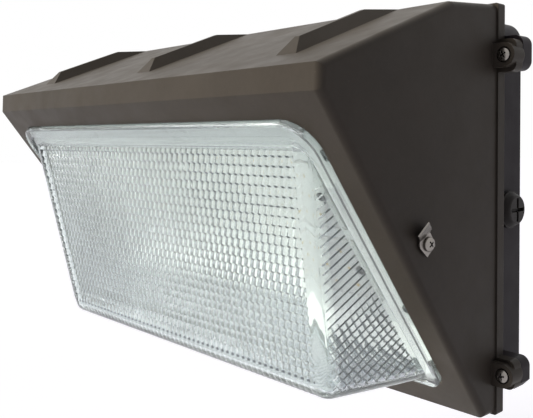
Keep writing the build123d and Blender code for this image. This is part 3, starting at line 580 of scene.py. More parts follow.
def raw_mesh(name: str, points: np.ndarray, faces: Sequence[Sequence[int]]) -> bpy.types.Mesh:
    """Make a mesh from points and faces.

    Args:
        name: Name of the mesh.
        points: Corner points in millimetres, one a row.
        faces: Corner numbers of each face.

    Returns:
        The mesh, in metres.
    """
    mesh = bpy.data.meshes.new(name)
    mesh.from_pydata((points * MM).tolist(), [], faces)
    return mesh


def put_in_scene(name: str, data: bpy.types.ID) -> Thing:
    """Make an object of a mesh, camera or light and link it to the scene.

    Args:
        name: Name of the object.
        data: What it shows or does.

    Returns:
        The object.
    """
    thing = bpy.data.objects.new(name, data)
    bpy.context.scene.collection.objects.link(thing)
    return thing


def finish_piece(
    mesh: bpy.types.Mesh, materials: Iterable[Material], sharp_angle: float
) -> Thing:
    """Merge doubled points, turn the faces outwards and put the mesh in the scene.

    Args:
        mesh: Mesh in metres, with the name that the piece gets.
        materials: Materials in the order of their face numbers.
        sharp_angle: Edges steeper than this, in degrees, stay sharp.

    Returns:
        The piece.
    """
    work = bmesh.new()
    work.from_mesh(mesh)
    bmesh.ops.remove_doubles(work, verts=work.verts, dist=1e-6)
    bmesh.ops.dissolve_degenerate(work, edges=work.edges, dist=1e-7)
    bmesh.ops.recalc_face_normals(work, faces=work.faces)
    work.to_mesh(mesh)
    work.free()
    for material in materials:
        mesh.materials.append(material)
    mesh.shade_smooth()
    mesh.set_sharp_from_angle(angle=math.radians(sharp_angle))
    return put_in_scene(mesh.name, mesh)


def loft_faces(loops: int, count: int) -> list[tuple[int, int, int, int]]:
    """Faces between closed loops of points.

    Args:
        loops: Number of loops.
        count: Number of points in each.

    Returns:
        Corner numbers of each face.
    """
    faces = []
    for loop in range(loops - 1):
        near = loop * count
        far = near + count
        for step in range(count):
            after = (step + 1) % count
            faces.append((near + step, near + after, far + after, far + step))
    return faces


def cut(piece: Thing, tool: Thing) -> None:
    """Take one closed mesh out of another and remove the tool.

    Args:
        piece: Piece that is cut.
        tool: Closed mesh that is taken out of it.
    """
    modifier = piece.modifiers.new("recess", "BOOLEAN")
    modifier.operation = "DIFFERENCE"
    modifier.solver = "EXACT"
    modifier.object = tool
    bpy.context.view_layer.update()
    seen = piece.evaluated_get(bpy.context.evaluated_depsgraph_get())
    mesh = bpy.data.meshes.new_from_object(seen)
    piece.modifiers.remove(modifier)
    piece.data = mesh
    bpy.data.objects.remove(tool)


@dataclass(frozen=True)
class SlopingFace:
    """Sloping face of the front housing, which carries the window and the light engine."""

    brow_y: float = -176.5
    brow_z: float = 58.4
    chin_y: float = -48.7
    chin_z: float = -121.7

    @property
    def down(self) -> np.ndarray:
        """Direction down the face."""
        run = np.array([0.0, self.chin_y - self.brow_y, self.chin_z - self.brow_z])
        return run / np.linalg.norm(run)

    @property
    def out(self) -> np.ndarray:
        """Direction out of the face."""
        down = self.down
        return np.array([0.0, down[2], -down[1]])

    def place(self, points: np.ndarray) -> np.ndarray:
        """Turn points on the face into the frame's axes.

        Args:
            points: Rows of distance across, drop from the brow and height out of the face.

        Returns:
            The same points as x, y and z.
        """
        brow = np.array([0.0, self.brow_y, self.brow_z])
        across = np.array([1.0, 0.0, 0.0])
        return brow + points @ np.array([across, self.down, self.out])


# ------------------------------------------------------------------------------ glass


@dataclass
class GlassRefractor:
    """Pressed glass: lip, raised rim and a wedge with prisms on its front, sides and underside."""

    face: SlopingFace = field(default_factory=SlopingFace)
    window_half_width: float = 162.9
    window_top: float = 15.1
    window_bottom: float = 199.5
    window_top_radius: float = 19.0
    window_bottom_radius: float = 9.0
    least_radius: float = 3.0
    lip: float = 4.0
    lip_thickness: float = 4.0
    seat_depth: float = 8.0
    rim_height: float = 3.5
    rim_rounding: float = 1.6
    rim_arc: float = 0.3
    rim_inside: tuple[float, float, float, float, float] = (155.0, 23.0, 196.4, 11.0, 7.0)
    rim_fall: tuple[Band, ...] = ((1.3, 0.15), (0.5, 0.5))
    groove_height: float = 2.1
    groove_edge: float = 0.1
    groove_lift: float = 0.2
    foot_height: float = 2.3
    wall: float = 5.0
    mouth: tuple[float, float, float, float] = (150.5, 29.0, 191.0, 8.0)
    mouth_height: float = -1.0
    front_drop: float = 23.9
    under_drop: float = 197.5
    nose_drop: float = 152.1
    nose_reach: float = 58.2
    foot_half_width: float = 154.7
    nose_half_width: float = 143.7
    corner_radius: float = 8.5
    columns: int = 54
    column_steps: int = 4
    row_pitch: float = 4.75
    first_row: float = 29.4
    rows: int = 24
    row_steps: int = 4
    row_depth: float = 1.1
    flute_depth: float = 0.5
    relief_fade: float = 1.5
    foot_fade: float = 1.2
    groove_pitch: float = 4.4
    groove_first: float = 24.3
    groove_depth: float = 0.9
    groove_half_width: float = 0.55
    groove_foot: float = 4.5
    net_pitch: float = 3.87
    net_first: float = 27.8
    net_curve: float = 0.0041
    net_middle: float = 125.0
    net_start: float = 112.0
    net_full: float = 130.0
    net_half_width: float = 0.8
    net_depth: float = 0.6
    wall_skin: float = 6.4
    groove_shallow: float = 0.22
    corner_steps: int = 6
    nose_steps: int = 6
    inner_steps: int = 16
    inner_top: float = 12.0
    inner_bottom: float = 16.0
    sharp_angle: float = 22.0

    @property
    def front_slope(self) -> float:
        """Rise of the front panel out of the face for each millimetre of drop."""
        return self.nose_reach / (self.nose_drop - self.front_drop)

    @property
    def under_slope(self) -> float:
        """Fall of the underside for each millimetre of drop."""
        return self.nose_reach / (self.under_drop - self.nose_drop)

    @property
    def side_lean(self) -> float:
        """Lean of the sides inwards for each millimetre of height."""
        return (self.foot_half_width - self.nose_half_width) / self.nose_reach

    @property
    def front_angle(self) -> float:
        """Angle of the front panel to the face, in radians."""
        return math.atan(self.front_slope)

    @property
    def under_angle(self) -> float:
        """Angle of the underside to the face, in radians."""
        return math.atan(self.under_slope)

    @property
    def front_stretch(self) -> float:
        """Drop along the face for each millimetre into the front panel."""
        return math.hypot(1, 1 / self.front_slope)

    @property
    def under_stretch(self) -> float:
        """Drop along the face for each millimetre into the underside."""
        return math.hypot(1, 1 / self.under_slope)

    @property
    def side_stretch(self) -> float:
        """Distance across for each millimetre into a side."""
        return math.hypot(1, self.side_lean)

    @property
    def across_count(self) -> int:
        """Number of points across the top or bottom of a loop."""
        return self.columns * self.column_steps + 1

    def side_drops(self) -> np.ndarray:
        """Drops of the sample lines on the sides, with one in the middle of each groove."""
        land = self.groove_pitch - 2 * self.groove_half_width
        steps = [0.0, self.groove_half_width, self.groove_half_width + land / 3]
        steps += [self.groove_half_width + 2 * land / 3, self.groove_pitch - self.groove_half_width]
        count = int((self.under_drop - self.groove_first) / self.groove_pitch) + 1
        lines = [self.groove_first + k * self.groove_pitch + s for k in range(count) for s in steps]
        return np.array([-1e3, *lines, 1e3])

    def stretches(self) -> list[slice]:
        """Points of a loop that run over its top, right side, bottom and left side."""
        across, down = self.across_count, len(self.side_drops())
        runs, start = [], 0
        for length in (across, down, across, down):
            runs.append(slice(start, start + length))
            start += length + self.corner_steps - 1
        return runs

    def outline(
        self,
        height: float,
        half_width: float,
        top: float,
        bottom: float,
        top_radius: float,
        bottom_radius: float,
    ) -> np.ndarray:
        """Closed loop parallel to the face, with the same number of points on each stretch.

        Args:
            height: Height out of the face.
            half_width: Half of its width.
            top: Drop of its upper edge.
            bottom: Drop of its lower edge.
            top_radius: Radius of its upper corners.
            bottom_radius: Radius of its lower corners.

        Returns:
            Rows of across, drop and height, from the upper left, over the right side, round.
        """
        count = self.across_count
        wide_top = half_width - top_radius
        wide_bottom = half_width - bottom_radius
        quarter = np.linspace(0, math.pi / 2, self.corner_steps + 1)[1:-1]
        upper = np.stack([np.linspace(-wide_top, wide_top, count), np.full(count, top)], 1)
        lower = np.stack([np.linspace(wide_bottom, -wide_bottom, count), np.full(count, bottom)], 1)
        drops = np.clip(self.side_drops(), top + top_radius, bottom - bottom_radius)
        right = np.stack([np.full(len(drops), half_width), drops], 1)
        left = np.stack([np.full(len(drops), -half_width), drops[::-1]], 1)
        sine, cosine = np.sin(quarter), np.cos(quarter)
        corner_a = np.stack([wide_top + top_radius * sine, top + top_radius * (1 - cosine)], 1)
        corner_b = np.stack(
            [wide_bottom + bottom_radius * cosine, bottom - bottom_radius * (1 - sine)], 1
        )
        corner_c = corner_b[::-1] * np.array([-1, 1])
        corner_d = corner_a[::-1] * np.array([-1, 1])
        parts = [upper, corner_a, right, corner_b, lower, corner_c, left, corner_d]
        flat = np.concatenate(parts)
        return np.column_stack([flat, np.full(len(flat), height)])

    def window(self, margin: float, height: float) -> np.ndarray:
        """Loop round the window, grown by a margin, at a height out of the face."""
        return self.outline(
            height,
            self.window_half_width + margin,
            self.window_top - margin,
            self.window_bottom + margin,
            max(self.window_top_radius + margin, self.least_radius),
            max(self.window_bottom_radius + margin, self.least_radius),
        )

    def inside_rim(self, margin: float, height: float) -> np.ndarray:
        """Loop round the rim's inner edge, grown by a margin, at a height out of the face."""
        half_width, top, bottom, top_radius, bottom_radius = self.rim_inside
        return self.outline(
            height,
            half_width + margin,
            top - margin,
            bottom + margin,
            top_radius + margin,
            bottom_radius + margin,
        )

    def nose(self, inset: float) -> tuple[float, float, float]:
        """Centre and radius of the rounded nose in section.

        Args:
            inset: How far inside the outer wedge.

        Returns:
            Drop and height of the centre, and the radius.
        """
        radius = self.corner_radius - inset
        start = self.front_drop + inset * self.front_stretch
        end = self.under_drop - inset * self.under_stretch
        reach = (end - start) / (1 / self.front_slope + 1 / self.under_slope)
        drop = start + reach / self.front_slope
        away = radius / math.cos((self.front_angle + self.under_angle) / 2)
        lean = (math.pi + self.front_angle - self.under_angle) / 2
        return drop - away * math.cos(lean), reach - away * math.sin(lean), radius

    def wedge(self, inset: float, height: float) -> np.ndarray:
        """Loop round the wedge at a height.

        Args:
            inset: How far inside the outer wedge.
            height: Height out of the face.

        Returns:
            Rows of across, drop and height.
        """
        centre_drop, centre_height, nose_radius = self.nose(inset)
        front = self.front_drop + height / self.front_slope
        front += inset * self.front_stretch
        under = self.under_drop - height / self.under_slope
        under -= inset * self.under_stretch
        rise = height - centre_height
        chord = math.sqrt(max(nose_radius**2 - rise**2, 0.0))
        if rise > nose_radius * math.cos(self.front_angle):
            front = centre_drop - chord
        if rise > nose_radius * math.cos(self.under_angle):
            under = centre_drop + chord
        radius = min(nose_radius, NEAR_HALF * (under - front))
        side = self.foot_half_width - height * self.side_lean - inset * self.side_stretch
        side -= nose_radius - radius
        return self.outline(height, side, front, under, radius, radius)

    def heights(self, inset: float, drops: Sequence[float]) -> list[float]:
        """Heights of the loops up the wedge.

        Args:
            inset: How far inside the outer wedge.
            drops: Drops of the loops on the front panel.

        Returns:
            Heights, ending at the tip of the nose.
        """
        _, centre_height, radius = self.nose(inset)
        start = self.front_drop + inset * self.front_stretch
        levels = [(drop - start) * self.front_slope for drop in drops]
        turns = np.linspace(self.front_angle, 0, self.nose_steps + 1)
        return levels + [centre_height + radius * math.cos(turn) for turn in turns]

    def row_relief(self, phase: float) -> float:
        """Depth of the horizontal prisms below the panel.

        Args:
            phase: Place within a row, from 0 at its upper edge to 1.

        Returns:
            Depth in millimetres, greatest at the edge and nil where the steep faces start.
        """
        gentle = 1 - 1 / self.row_steps
        depth = 1 - phase / gentle if phase <= gentle else (phase - gentle) / (1 - gentle)
        return self.row_depth * depth

    def flutes(self) -> np.ndarray:
        """Depth of the flutes across the top or bottom of a loop, nil at both ends.

        Returns:
            Depth in millimetres at each point.
        """
        column = np.arange(self.across_count) / self.column_steps % 1
        depth = self.flute_depth * (2 * np.abs(column - 0.5)) ** 2
        depth[[0, -1]] = 0.0
        return depth

    @staticmethod
    def ridges(place: np.ndarray, pitch: float, half_width: float, depth: float) -> np.ndarray:
        """Depth of evenly spaced V grooves at places across them, with a groove at 0."""
        off = np.abs((place + pitch / 2) % pitch - pitch / 2)
        return np.clip(1 - off / half_width, 0, 1) * depth

    def carve_front(self, loops: np.ndarray, drops: Sequence[float], first: int) -> None:
        """Cut the horizontal prisms and the flutes into the front panel and round the nose.

        Args:
            loops: Points of all loops, changed in place.
            drops: Drops of the loops with rows, from the first row down.
            first: Number of the first of them.
        """
        top = self.stretches()[0]
        flutes = self.flutes()
        inner = np.ones(len(flutes))
        inner[[0, -1]] = 0.0
        normal = np.array([0, -math.sin(self.front_angle), math.cos(self.front_angle)])
        for step in range(1, len(drops) - 1):
            phase = (drops[step] - self.first_row) / self.row_pitch % 1
            if phase > 1 - 1e-6:
                phase = 0.0
            depth = self.row_relief(phase) * inner + flutes
            loops[first + step, top] -= depth[:, None] * normal
        centre_drop, centre_height, _ = self.nose(0.0)
        for loop in loops[first + len(drops) :]:
            spoke = loop[top, 1:] - np.array([centre_drop, centre_height])
            spoke /= np.linalg.norm(spoke, axis=1)[:, None]
            loop[top, 1:] -= flutes[:, None] * spoke

    def carve_under(self, loops: np.ndarray, first: int) -> None:
        """Cut the flutes into the underside, and close the tip of the nose.

        Args:
            loops: Points of all loops, changed in place.
            first: Number of the first loop that has them.
        """
        top, _, bottom, _ = self.stretches()
        normal = np.array([0, math.sin(self.under_angle), math.cos(self.under_angle)])
        loops[first:-1, bottom] -= self.flutes()[None, :, None] * normal
        loops[-1, bottom] = loops[-1, top][::-1]

    def carve_sides(self, loops: np.ndarray, first: int) -> None:
        """Cut the grooves and the curved net into both sides.

        Args:
            loops: Points of all loops, changed in place.
            first: Number of the first loop of the wedge.
        """
        _, right, _, left = self.stretches()
        for side, turn in ((right, 1), (left, -1)):
            part = loops[first:, side]
            drop, height = part[..., 1], part[..., 2]
            to_front = drop - drop.min(1, keepdims=True)
            to_under = drop.max(1, keepdims=True) - drop
            free = np.clip(np.minimum(to_front, to_under) / self.relief_fade, 0, 1)
            free *= np.clip((height - self.groove_foot) / self.foot_fade, 0, 1)
            groove = self.ridges(
                drop - self.groove_first,
                self.groove_pitch,
                self.groove_half_width,
                self.groove_depth,
            )
            level = height + self.net_curve * (drop - self.net_middle) ** 2 - self.net_first
            net = self.ridges(level, self.net_pitch, self.net_half_width, self.net_depth)
            net *= np.clip((drop - self.net_start) / (self.net_full - self.net_start), 0, 1)
            part[..., 0] -= turn * np.maximum(groove, net) * free

    def sort_glass(self, mesh: bpy.types.Mesh, count: int, first: int) -> None:
        """Sort the faces into the zones of the glass.

        Args:
            mesh: Mesh of the glass, with its faces in the order of the loops.
            count: Number of points in a loop.
            first: Number of the first loop of the wedge.
        """
        origin = self.face.place(np.zeros((1, 3)))[0]
        rows = range(first + 1, first + 1 + self.rows * self.row_steps)
        for facet in mesh.polygons:
            loop, column = divmod(facet.index, count)
            spot = np.array(facet.center) / MM - origin
            drop, height = spot @ self.face.down, spot @ self.face.out
            to_side = self.foot_half_width - height * self.side_lean - abs(spot[0])
            to_side /= self.side_stretch
            to_under = self.under_drop - height / self.under_slope - drop
            to_under /= self.under_stretch
            to_front = drop - self.front_drop - height / self.front_slope
            to_front /= self.front_stretch
            on_wall = min(to_side, to_under) < self.wall_skin
            if on_wall and height > self.foot_height and to_front > self.corner_radius:
                facet.material_index = GlassZone.WALL
                cut_in = self.groove_shallow < to_side < self.groove_depth + self.groove_shallow
                if cut_in and to_under > self.corner_radius:
                    facet.material_index = GlassZone.GROOVE
            steep = (loop - rows.start) % self.row_steps == self.row_steps - 1
            at_border = column % self.column_steps in (0, self.column_steps - 1)
            if loop in rows and steep and at_border and column < self.across_count - 1:
                facet.material_index = GlassZone.ROOT

    def build(self, workshop: Workshop) -> Thing:
        """Build the glass as one closed shell.

        Args:
            workshop: Source of the finishes.

        Returns:
            The glass.
        """
        highest = self.front_drop + self.inner_top
        inner_drops = np.linspace(highest, self.nose_drop - self.inner_bottom, self.inner_steps)
        inner = [self.wedge(self.wall, h) for h in self.heights(self.wall, inner_drops)]
        inner = [*inner[::-1], self.wedge(self.wall, self.mouth_height)]
        turn, top = self.rim_rounding, self.rim_height
        lip_top = self.lip_thickness - self.seat_depth
        outside = [
            (self.lip, -self.seat_depth),
            (self.lip, lip_top),
            (0.0, lip_top),
            (0.0, top - turn),
            (-self.rim_arc * turn, top - self.rim_arc * turn),
            (-turn, top),
        ]
        inside = [(margin, top - fall) for margin, fall in self.rim_fall]
        inside.append((self.groove_edge, self.groove_height + self.groove_lift))
        inside.append((-self.groove_edge, self.groove_height))
        steps = self.rows * self.row_steps
        drops = [self.first_row + k * self.row_pitch / self.row_steps for k in range(steps + 1)]
        foot_drop = self.front_drop + self.foot_height / self.front_slope
        wedge = [self.wedge(0, h) for h in self.heights(0, [foot_drop, *drops])]
        mouth = [
            self.outline(h, *self.mouth, self.mouth[3])
            for h in (self.mouth_height, -self.seat_depth)
        ]
        rim = [self.window(*spot) for spot in outside] + [self.inside_rim(*spot) for spot in inside]
        loops = np.array([*inner, *mouth, *rim, *wedge])
        first = len(loops) - len(wedge)
        self.carve_front(loops, drops, first + 1)
        self.carve_sides(loops, first)
        self.carve_under(loops, first + 2)
        count = loops.shape[1]
        points = self.face.place(loops.reshape(-1, 3))
        mesh = raw_mesh("glass_prismatic", points, loft_faces(len(loops), count))
        self.sort_glass(mesh, count, first)
        finishes = workshop.finishes
        # The wall, root and groove zones take the darker glass tints, which are painted shade.
        glasses = {
            GlassZone.FRONT: finishes.glass,
            GlassZone.WALL: finishes.painted_shade_wall_glass,
            GlassZone.ROOT: finishes.painted_shade_root_glass,
            GlassZone.GROOVE: finishes.painted_shade_groove_glass,
        }
        looks = [workshop.material(glasses[zone]) for zone in GlassZone]
        piece = finish_piece(mesh, looks, self.sharp_angle)
        piece.visible_shadow = False
        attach(piece, Body.FRONT_DOOR.value)
        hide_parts("glass_refractor")
        LOG.info("built %s with %d points", piece.name, len(piece.data.vertices))
        return piece


# ------------------------------------------------------------------------------ screws


@dataclass
class DomedScrew:
    """Pan-head screw with a cross recess and a real helical thread."""

    name: str
    head_radius: float
    head_height: float
    shank_radius: float
    shank_length: float
    thread_start: float = 0.0
    neck_radius: float = 0.0
    pitch: float = 0.7
    thread_depth: float = 0.28
    thread_steps: int = 6
    end_taper: float = 0.25
    tip_share: float = 0.6
    crown_share: float = 0.58
    crown_steps: int = 8
    brim_share: float = 0.12
    foot_share: float = 0.97
    recess_depth: float = 1.7
    wing_share: float = 0.62
    arm_share: float = 0.13
    mouth_size: float = 1.05
    floor_size: float = 0.55
    overshoot: float = 0.5
    around: int = 40
    sharp_angle: float = 40.0

    def ring(self, radius: float | np.ndarray, height: float) -> np.ndarray:
        """Ring of points about the screw's axis.

        Args:
            radius: One radius, or one for each point.
            height: Height of the ring.

        Returns:
            Rows of x, y and z.
        """
        turn = np.linspace(0, 2 * math.pi, self.around, endpoint=False)
        level = np.full(self.around, height)
        return np.stack([radius * np.cos(turn), radius * np.sin(turn), level], 1)

    def head_rings(self) -> list[np.ndarray]:
        """Rings of points over the head, from its middle to its underside."""
        radius, height, crown = self.head_radius, self.head_height, self.crown_share
        slopes = np.linspace(0, math.pi / 2, self.crown_steps + 1)
        rings = [
            self.ring(radius * math.sin(a), height * (1 - crown + crown * math.cos(a)))
            for a in slopes
        ]
        rings.append(self.ring(radius, self.brim_share * height))
        rings.append(self.ring(radius * self.foot_share, 0.0))
        return rings

    def shank_rings(self) -> list[np.ndarray]:
        """Rings of points down the shank, with the thread's ridge winding round."""
        turn = np.linspace(0, 2 * math.pi, self.around, endpoint=False)
        rings = [self.ring(self.neck_radius or self.shank_radius, 0.0)]
        steps = int((self.shank_length - self.thread_start) / self.pitch * self.thread_steps)
        for step in range(0 if self.thread_start > 0 else 1, steps):
            level = self.thread_start + step * self.pitch / self.thread_steps
            phase = (level / self.pitch - turn / (2 * math.pi)) % 1
            ridge = 1 - np.abs(2 * phase - 1)
            radius = self.shank_radius - self.thread_depth * (1 - ridge)
            fade = min(1.0, (self.shank_length - level) / self.pitch)
            radius = radius * (1 - self.end_taper + self.end_taper * fade)
            rings.append(self.ring(radius, -level))
        tip = self.tip_share * (self.shank_radius - self.thread_depth)
        rings += [self.ring(radius, -self.shank_length) for radius in (tip, 0.0)]
        return rings

    def cross_tool(self) -> Thing:
        """Tapered cross that cuts the recess, as one closed mesh."""
        work = bmesh.new()
        wing = self.wing_share * self.head_radius
        half = self.arm_share * self.head_radius
        arm = [(wing, -half), (wing, half), (half, half)]
        quarters = [Matrix.Rotation(k * math.pi / 2, 2) for k in range(4)]
        outline = [quarter @ Vector(point) for quarter in quarters for point in arm]
        mouth = self.head_height + self.overshoot
        floor = self.head_height - self.recess_depth
        rings = []
        for height, size in ((mouth, self.mouth_size), (floor, self.floor_size)):
            spots = [Vector((p.x * size, p.y * size, height)) * MM for p in outline]
            rings.append([work.verts.new(spot) for spot in spots])
        work.faces.new(rings[0])
        work.faces.new(rings[1][::-1])
        for step in range(len(outline)):
            after = (step + 1) % len(outline)
            work.faces.new((rings[0][step], rings[1][step], rings[1][after], rings[0][after]))
        bmesh.ops.recalc_face_normals(work, faces=work.faces)
        mesh = bpy.data.meshes.new("cross_tool")
        work.to_mesh(mesh)
        work.free()
        return put_in_scene("cross_tool", mesh)

    def build(self, seat: Matrix, material: Material) -> Thing:
        """Build the screw on its seat.

        Args:
            seat: Place of the seat in metres, with Z out of the head.
            material: Its material.

        Returns:
            The screw.
        """
        rings = self.head_rings() + self.shank_rings()
        mesh = raw_mesh(self.name, np.concatenate(rings), loft_faces(len(rings), self.around))
        piece = finish_piece(mesh, [material], self.sharp_angle)
        cut(piece, self.cross_tool())
        piece.data.transform(seat)
        return piece


@dataclass
class DoorScrews:
    """Two captive screws that hold the front housing shut, one to each lug."""

    across: float = 187.8
    seat_y: float = -40.8
    upper_z: float = 83.5
    lower_z: float = -97.1
    turn_upper: float = 0.5
    turn_lower: float = 0.2

    def build(self, workshop: Workshop) -> list[Thing]:
        """Build both screws.

        Args:
            workshop: Source of the finishes.

        Returns:
            The screws.
        """
        pieces = []
        places = (
            ("door_screw_upper", self.upper_z, Body.UPPER_SCREW, self.turn_upper),
            ("door_screw_lower", self.lower_z, Body.LOWER_SCREW, self.turn_lower),
        )
        for node, height, body, turn in places:
            screw = DomedScrew(
                f"{node}_detailed",
                head_radius=3.8,
                head_height=2.65,
                shank_radius=2.0,
                shank_length=17.7,
                thread_start=11.3,
                neck_radius=1.5,
            )
            seat = Matrix.Translation(Vector((self.across, self.seat_y, height)) * MM)
            seat = seat @ Matrix.Rotation(math.pi / 2, 4, "X") @ Matrix.Rotation(turn, 4, "Z")
            piece = screw.build(seat, workshop.material(workshop.finishes.nickel))
            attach(piece, body.value)
            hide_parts(node)
            LOG.info("built %s", piece.name)
            pieces.append(piece)
        return pieces


@dataclass
class SideClipScrew:
    """Screw through the small bent clip on the right-hand side."""

    normal: Point = (1.0, -0.004, 0.0)
    spin: float = 0.7
    head_height: float = 2.2
    shank_radius: float = 1.5
    recess_depth: float = 1.4

    def build(self, workshop: Workshop) -> Thing:
        """Build the screw where the CAD one stands.

        Args:
            workshop: Source of the finishes.

        Returns:
            The screw.
        """
        low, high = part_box("side_clip_screw")
        head_radius = (high.z - low.z) / 2 / MM
        screw = DomedScrew(
            "side_clip_screw_detailed",
            head_radius,
            self.head_height,
            self.shank_radius,
            shank_length=(high.x - low.x) / MM - self.head_height,
            recess_depth=self.recess_depth,
        )
        out = Vector(self.normal).normalized()
        top = Vector((high.x, (low.y + high.y) / 2, (low.z + high.z) / 2))
        seat = Matrix.Translation(top - out * self.head_height * MM)
        seat = seat @ out.to_track_quat("Z", "Y").to_matrix().to_4x4()
        seat = seat @ Matrix.Rotation(self.spin, 4, "Z")
        piece = screw.build(seat, workshop.material(workshop.finishes.nickel))
        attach(piece, Body.FRONT_DOOR.value)
        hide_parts("side_clip_screw")
        LOG.info("built %s", piece.name)
        return piece


# ------------------------------------------------------------------------------ light engine


@dataclass
class LedRow:
    """LEDs of one board: ceramic packages with a domed phosphor lens."""

    node: str
    drop: float
    face: SlopingFace = field(default_factory=SlopingFace)
    board_top: float = -20.8
    columns: int = 12
    rows: int = 3
    pitch_across: float = 19.0
    pitch_down: float = 14.0
    size: float = 3.0
    package_height: float = 0.32
    package_bevel: float = 0.15
    dome_radius: float = 1.2
    dome_height: float = 0.36
    dome_sink: float = 0.01
    dome_steps: int = 4
    around: int = 16
    sharp_angle: float = 35.0

    def package(self) -> tuple[list[Point], list[tuple[int, ...]], list[int]]:
        """Points, faces and face finishes of one LED, on its own middle.

        Returns:
            Points in millimetres, corner numbers, and 0 for ceramic or 1 for phosphor.
        """
        half, height, bevel = self.size / 2, self.package_height, self.package_bevel
        outlines = ((half, 0.0), (half, height - bevel), (half - bevel, height))
        corners = ((-1, -1), (1, -1), (1, 1), (-1, 1))
        points = [(sx * w, sy * w, z) for w, z in outlines for sx, sy in corners]
        count = len(corners)
        faces: list[tuple[int, ...]] = [(3, 2, 1, 0), (8, 9, 10, 11)]
        faces += loft_faces(len(outlines), count)
        finish = [0] * len(faces)
        base = len(points)
        foot = height - self.dome_sink
        turns = [2 * math.pi * k / self.around for k in range(self.around)]
        for step in range(self.dome_steps):
            lift = math.pi / 2 * step / self.dome_steps
            radius = self.dome_radius * math.cos(lift)
            level = foot + self.dome_height * math.sin(lift)
            points += [(radius * math.cos(a), radius * math.sin(a), level) for a in turns]
        points.append((0.0, 0.0, foot + self.dome_height))
        sides = loft_faces(self.dome_steps, self.around)
        faces += [tuple(base + corner for corner in side) for side in sides]
        last, top = base + (self.dome_steps - 1) * self.around, len(points) - 1
        faces += [(last + k, last + (k + 1) % self.around, top) for k in range(self.around)]
        faces.append(tuple(base + k for k in reversed(range(self.around))))
        finish += [1] * (len(faces) - len(finish))
        return points, faces, finish

    def build(self, workshop: Workshop) -> Thing:
        """Build all LEDs of the board as one piece.

        Args:
            workshop: Source of the finishes.

        Returns:
            The piece.
        """
        one, faces, finish = self.package()
        points, all_faces = [], []
        for column in range(self.columns):
            for row in range(self.rows):
                across = (column - (self.columns - 1) / 2) * self.pitch_across
                drop = self.drop + (row - (self.rows - 1) / 2) * self.pitch_down
                start = len(points)
                points += [(x + across, y + drop, z + self.board_top) for x, y, z in one]
                all_faces += [tuple(start + k for k in face) for face in faces]
        placed = self.face.place(np.array(points))
        mesh = raw_mesh(f"{self.node}_packages", placed, all_faces)
        mesh.polygons.foreach_set("material_index", finish * (self.columns * self.rows))
        finishes = workshop.finishes
        looks = [workshop.material(look) for look in (finishes.ceramic, finishes.phosphor)]
        piece = finish_piece(mesh, looks, self.sharp_angle)
        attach(piece, Body.FRONT_DOOR.value)
        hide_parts(self.node)
        LOG.info("built %s", piece.name)
        return piece


@dataclass
class LightEngine:
    """Reflector, plate, boards and LEDs behind the glass."""

    upper_drop: float = 80.0
    lower_drop: float = 136.0

    def build(self, workshop: Workshop) -> None:
        """Dress the carried-over parts and build the LEDs.

        Args:
            workshop: Source of the finishes.
        """
        finishes = workshop.finishes
        workshop.dress(["reflector"], finishes.enamel)
        workshop.dress(["led_plate"], finishes.aluminium)
        workshop.dress(["led_board_upper", "led_board_lower"], finishes.board)
        screws = ["led_board_screws", "reflector_screws", "led_plate_screws"]
        workshop.dress(screws, finishes.steel)
        for node, drop in (("leds_upper", self.upper_drop), ("leds_lower", self.lower_drop)):
            LedRow(node, drop).build(workshop)


@dataclass
class Driver:
    """Driver under the roof: potted case, sheet base and end caps."""

    case: str = "driver_case"
    base: str = "driver_base"
    caps: str = "driver_end_caps"
    screws: str = "driver_screws"

    def build(self, workshop: Workshop) -> None:
        """Dress the driver's parts.

        Args:
            workshop: Source of the finishes.
        """
        workshop.dress([self.case, self.base], workshop.finishes.aluminium)
        workshop.dress([self.caps], workshop.finishes.nylon)
        workshop.dress([self.screws], workshop.finishes.steel)


# ------------------------------------------------------------------------------ housings


@dataclass
class RearBox:
    """Cast box on the wall with its plugs, seals, ground screw and hinge pins."""

    castings: tuple[str, ...] = ("rear_housing",)
    plugs: tuple[str, ...] = ("conduit_plug_right", "conduit_plug_left")
    seals: tuple[str, ...] = ("door_gasket", "conduit_plug_seals")
    pins: tuple[str, ...] = ("hinge_pins", "hinge_pin_rings")

    def build(self, workshop: Workshop) -> None:
        """Dress the parts of the box.

        Args:
            workshop: Source of the finishes.
        """
        finishes = workshop.finishes
        # The box's darker copy of the powder coat is painted shade.
        workshop.dress(self.castings, finishes.painted_shade_box_bronze)
        workshop.dress(self.plugs, finishes.plug_bronze)
        workshop.dress(self.seals, finishes.silicone)
        workshop.dress(self.pins, finishes.steel)
        workshop.dress(["ground_screw"], finishes.green)


@dataclass
class FrontHousing:
    """Hinged front housing with its glass, clips, door screws and side clip."""

    casting: str = "front_housing"
    clip: str = "side_clip"

    def build(self, workshop: Workshop) -> None:
        """Dress the housing and build what stands on it.

        Args:
            workshop: Source of the finishes.
        """
        finishes = workshop.finishes
        workshop.dress([self.casting], finishes.bronze)
        workshop.dress(["glass_gasket"], finishes.silicone)
        workshop.dress(["glass_clips", "glass_clip_screws"], finishes.steel)
        workshop.dress([self.clip], finishes.nickel)
        GlassRefractor().build(workshop)
        DoorScrews().build(workshop)
        SideClipScrew().build(workshop)


# ------------------------------------------------------------------------------ studio


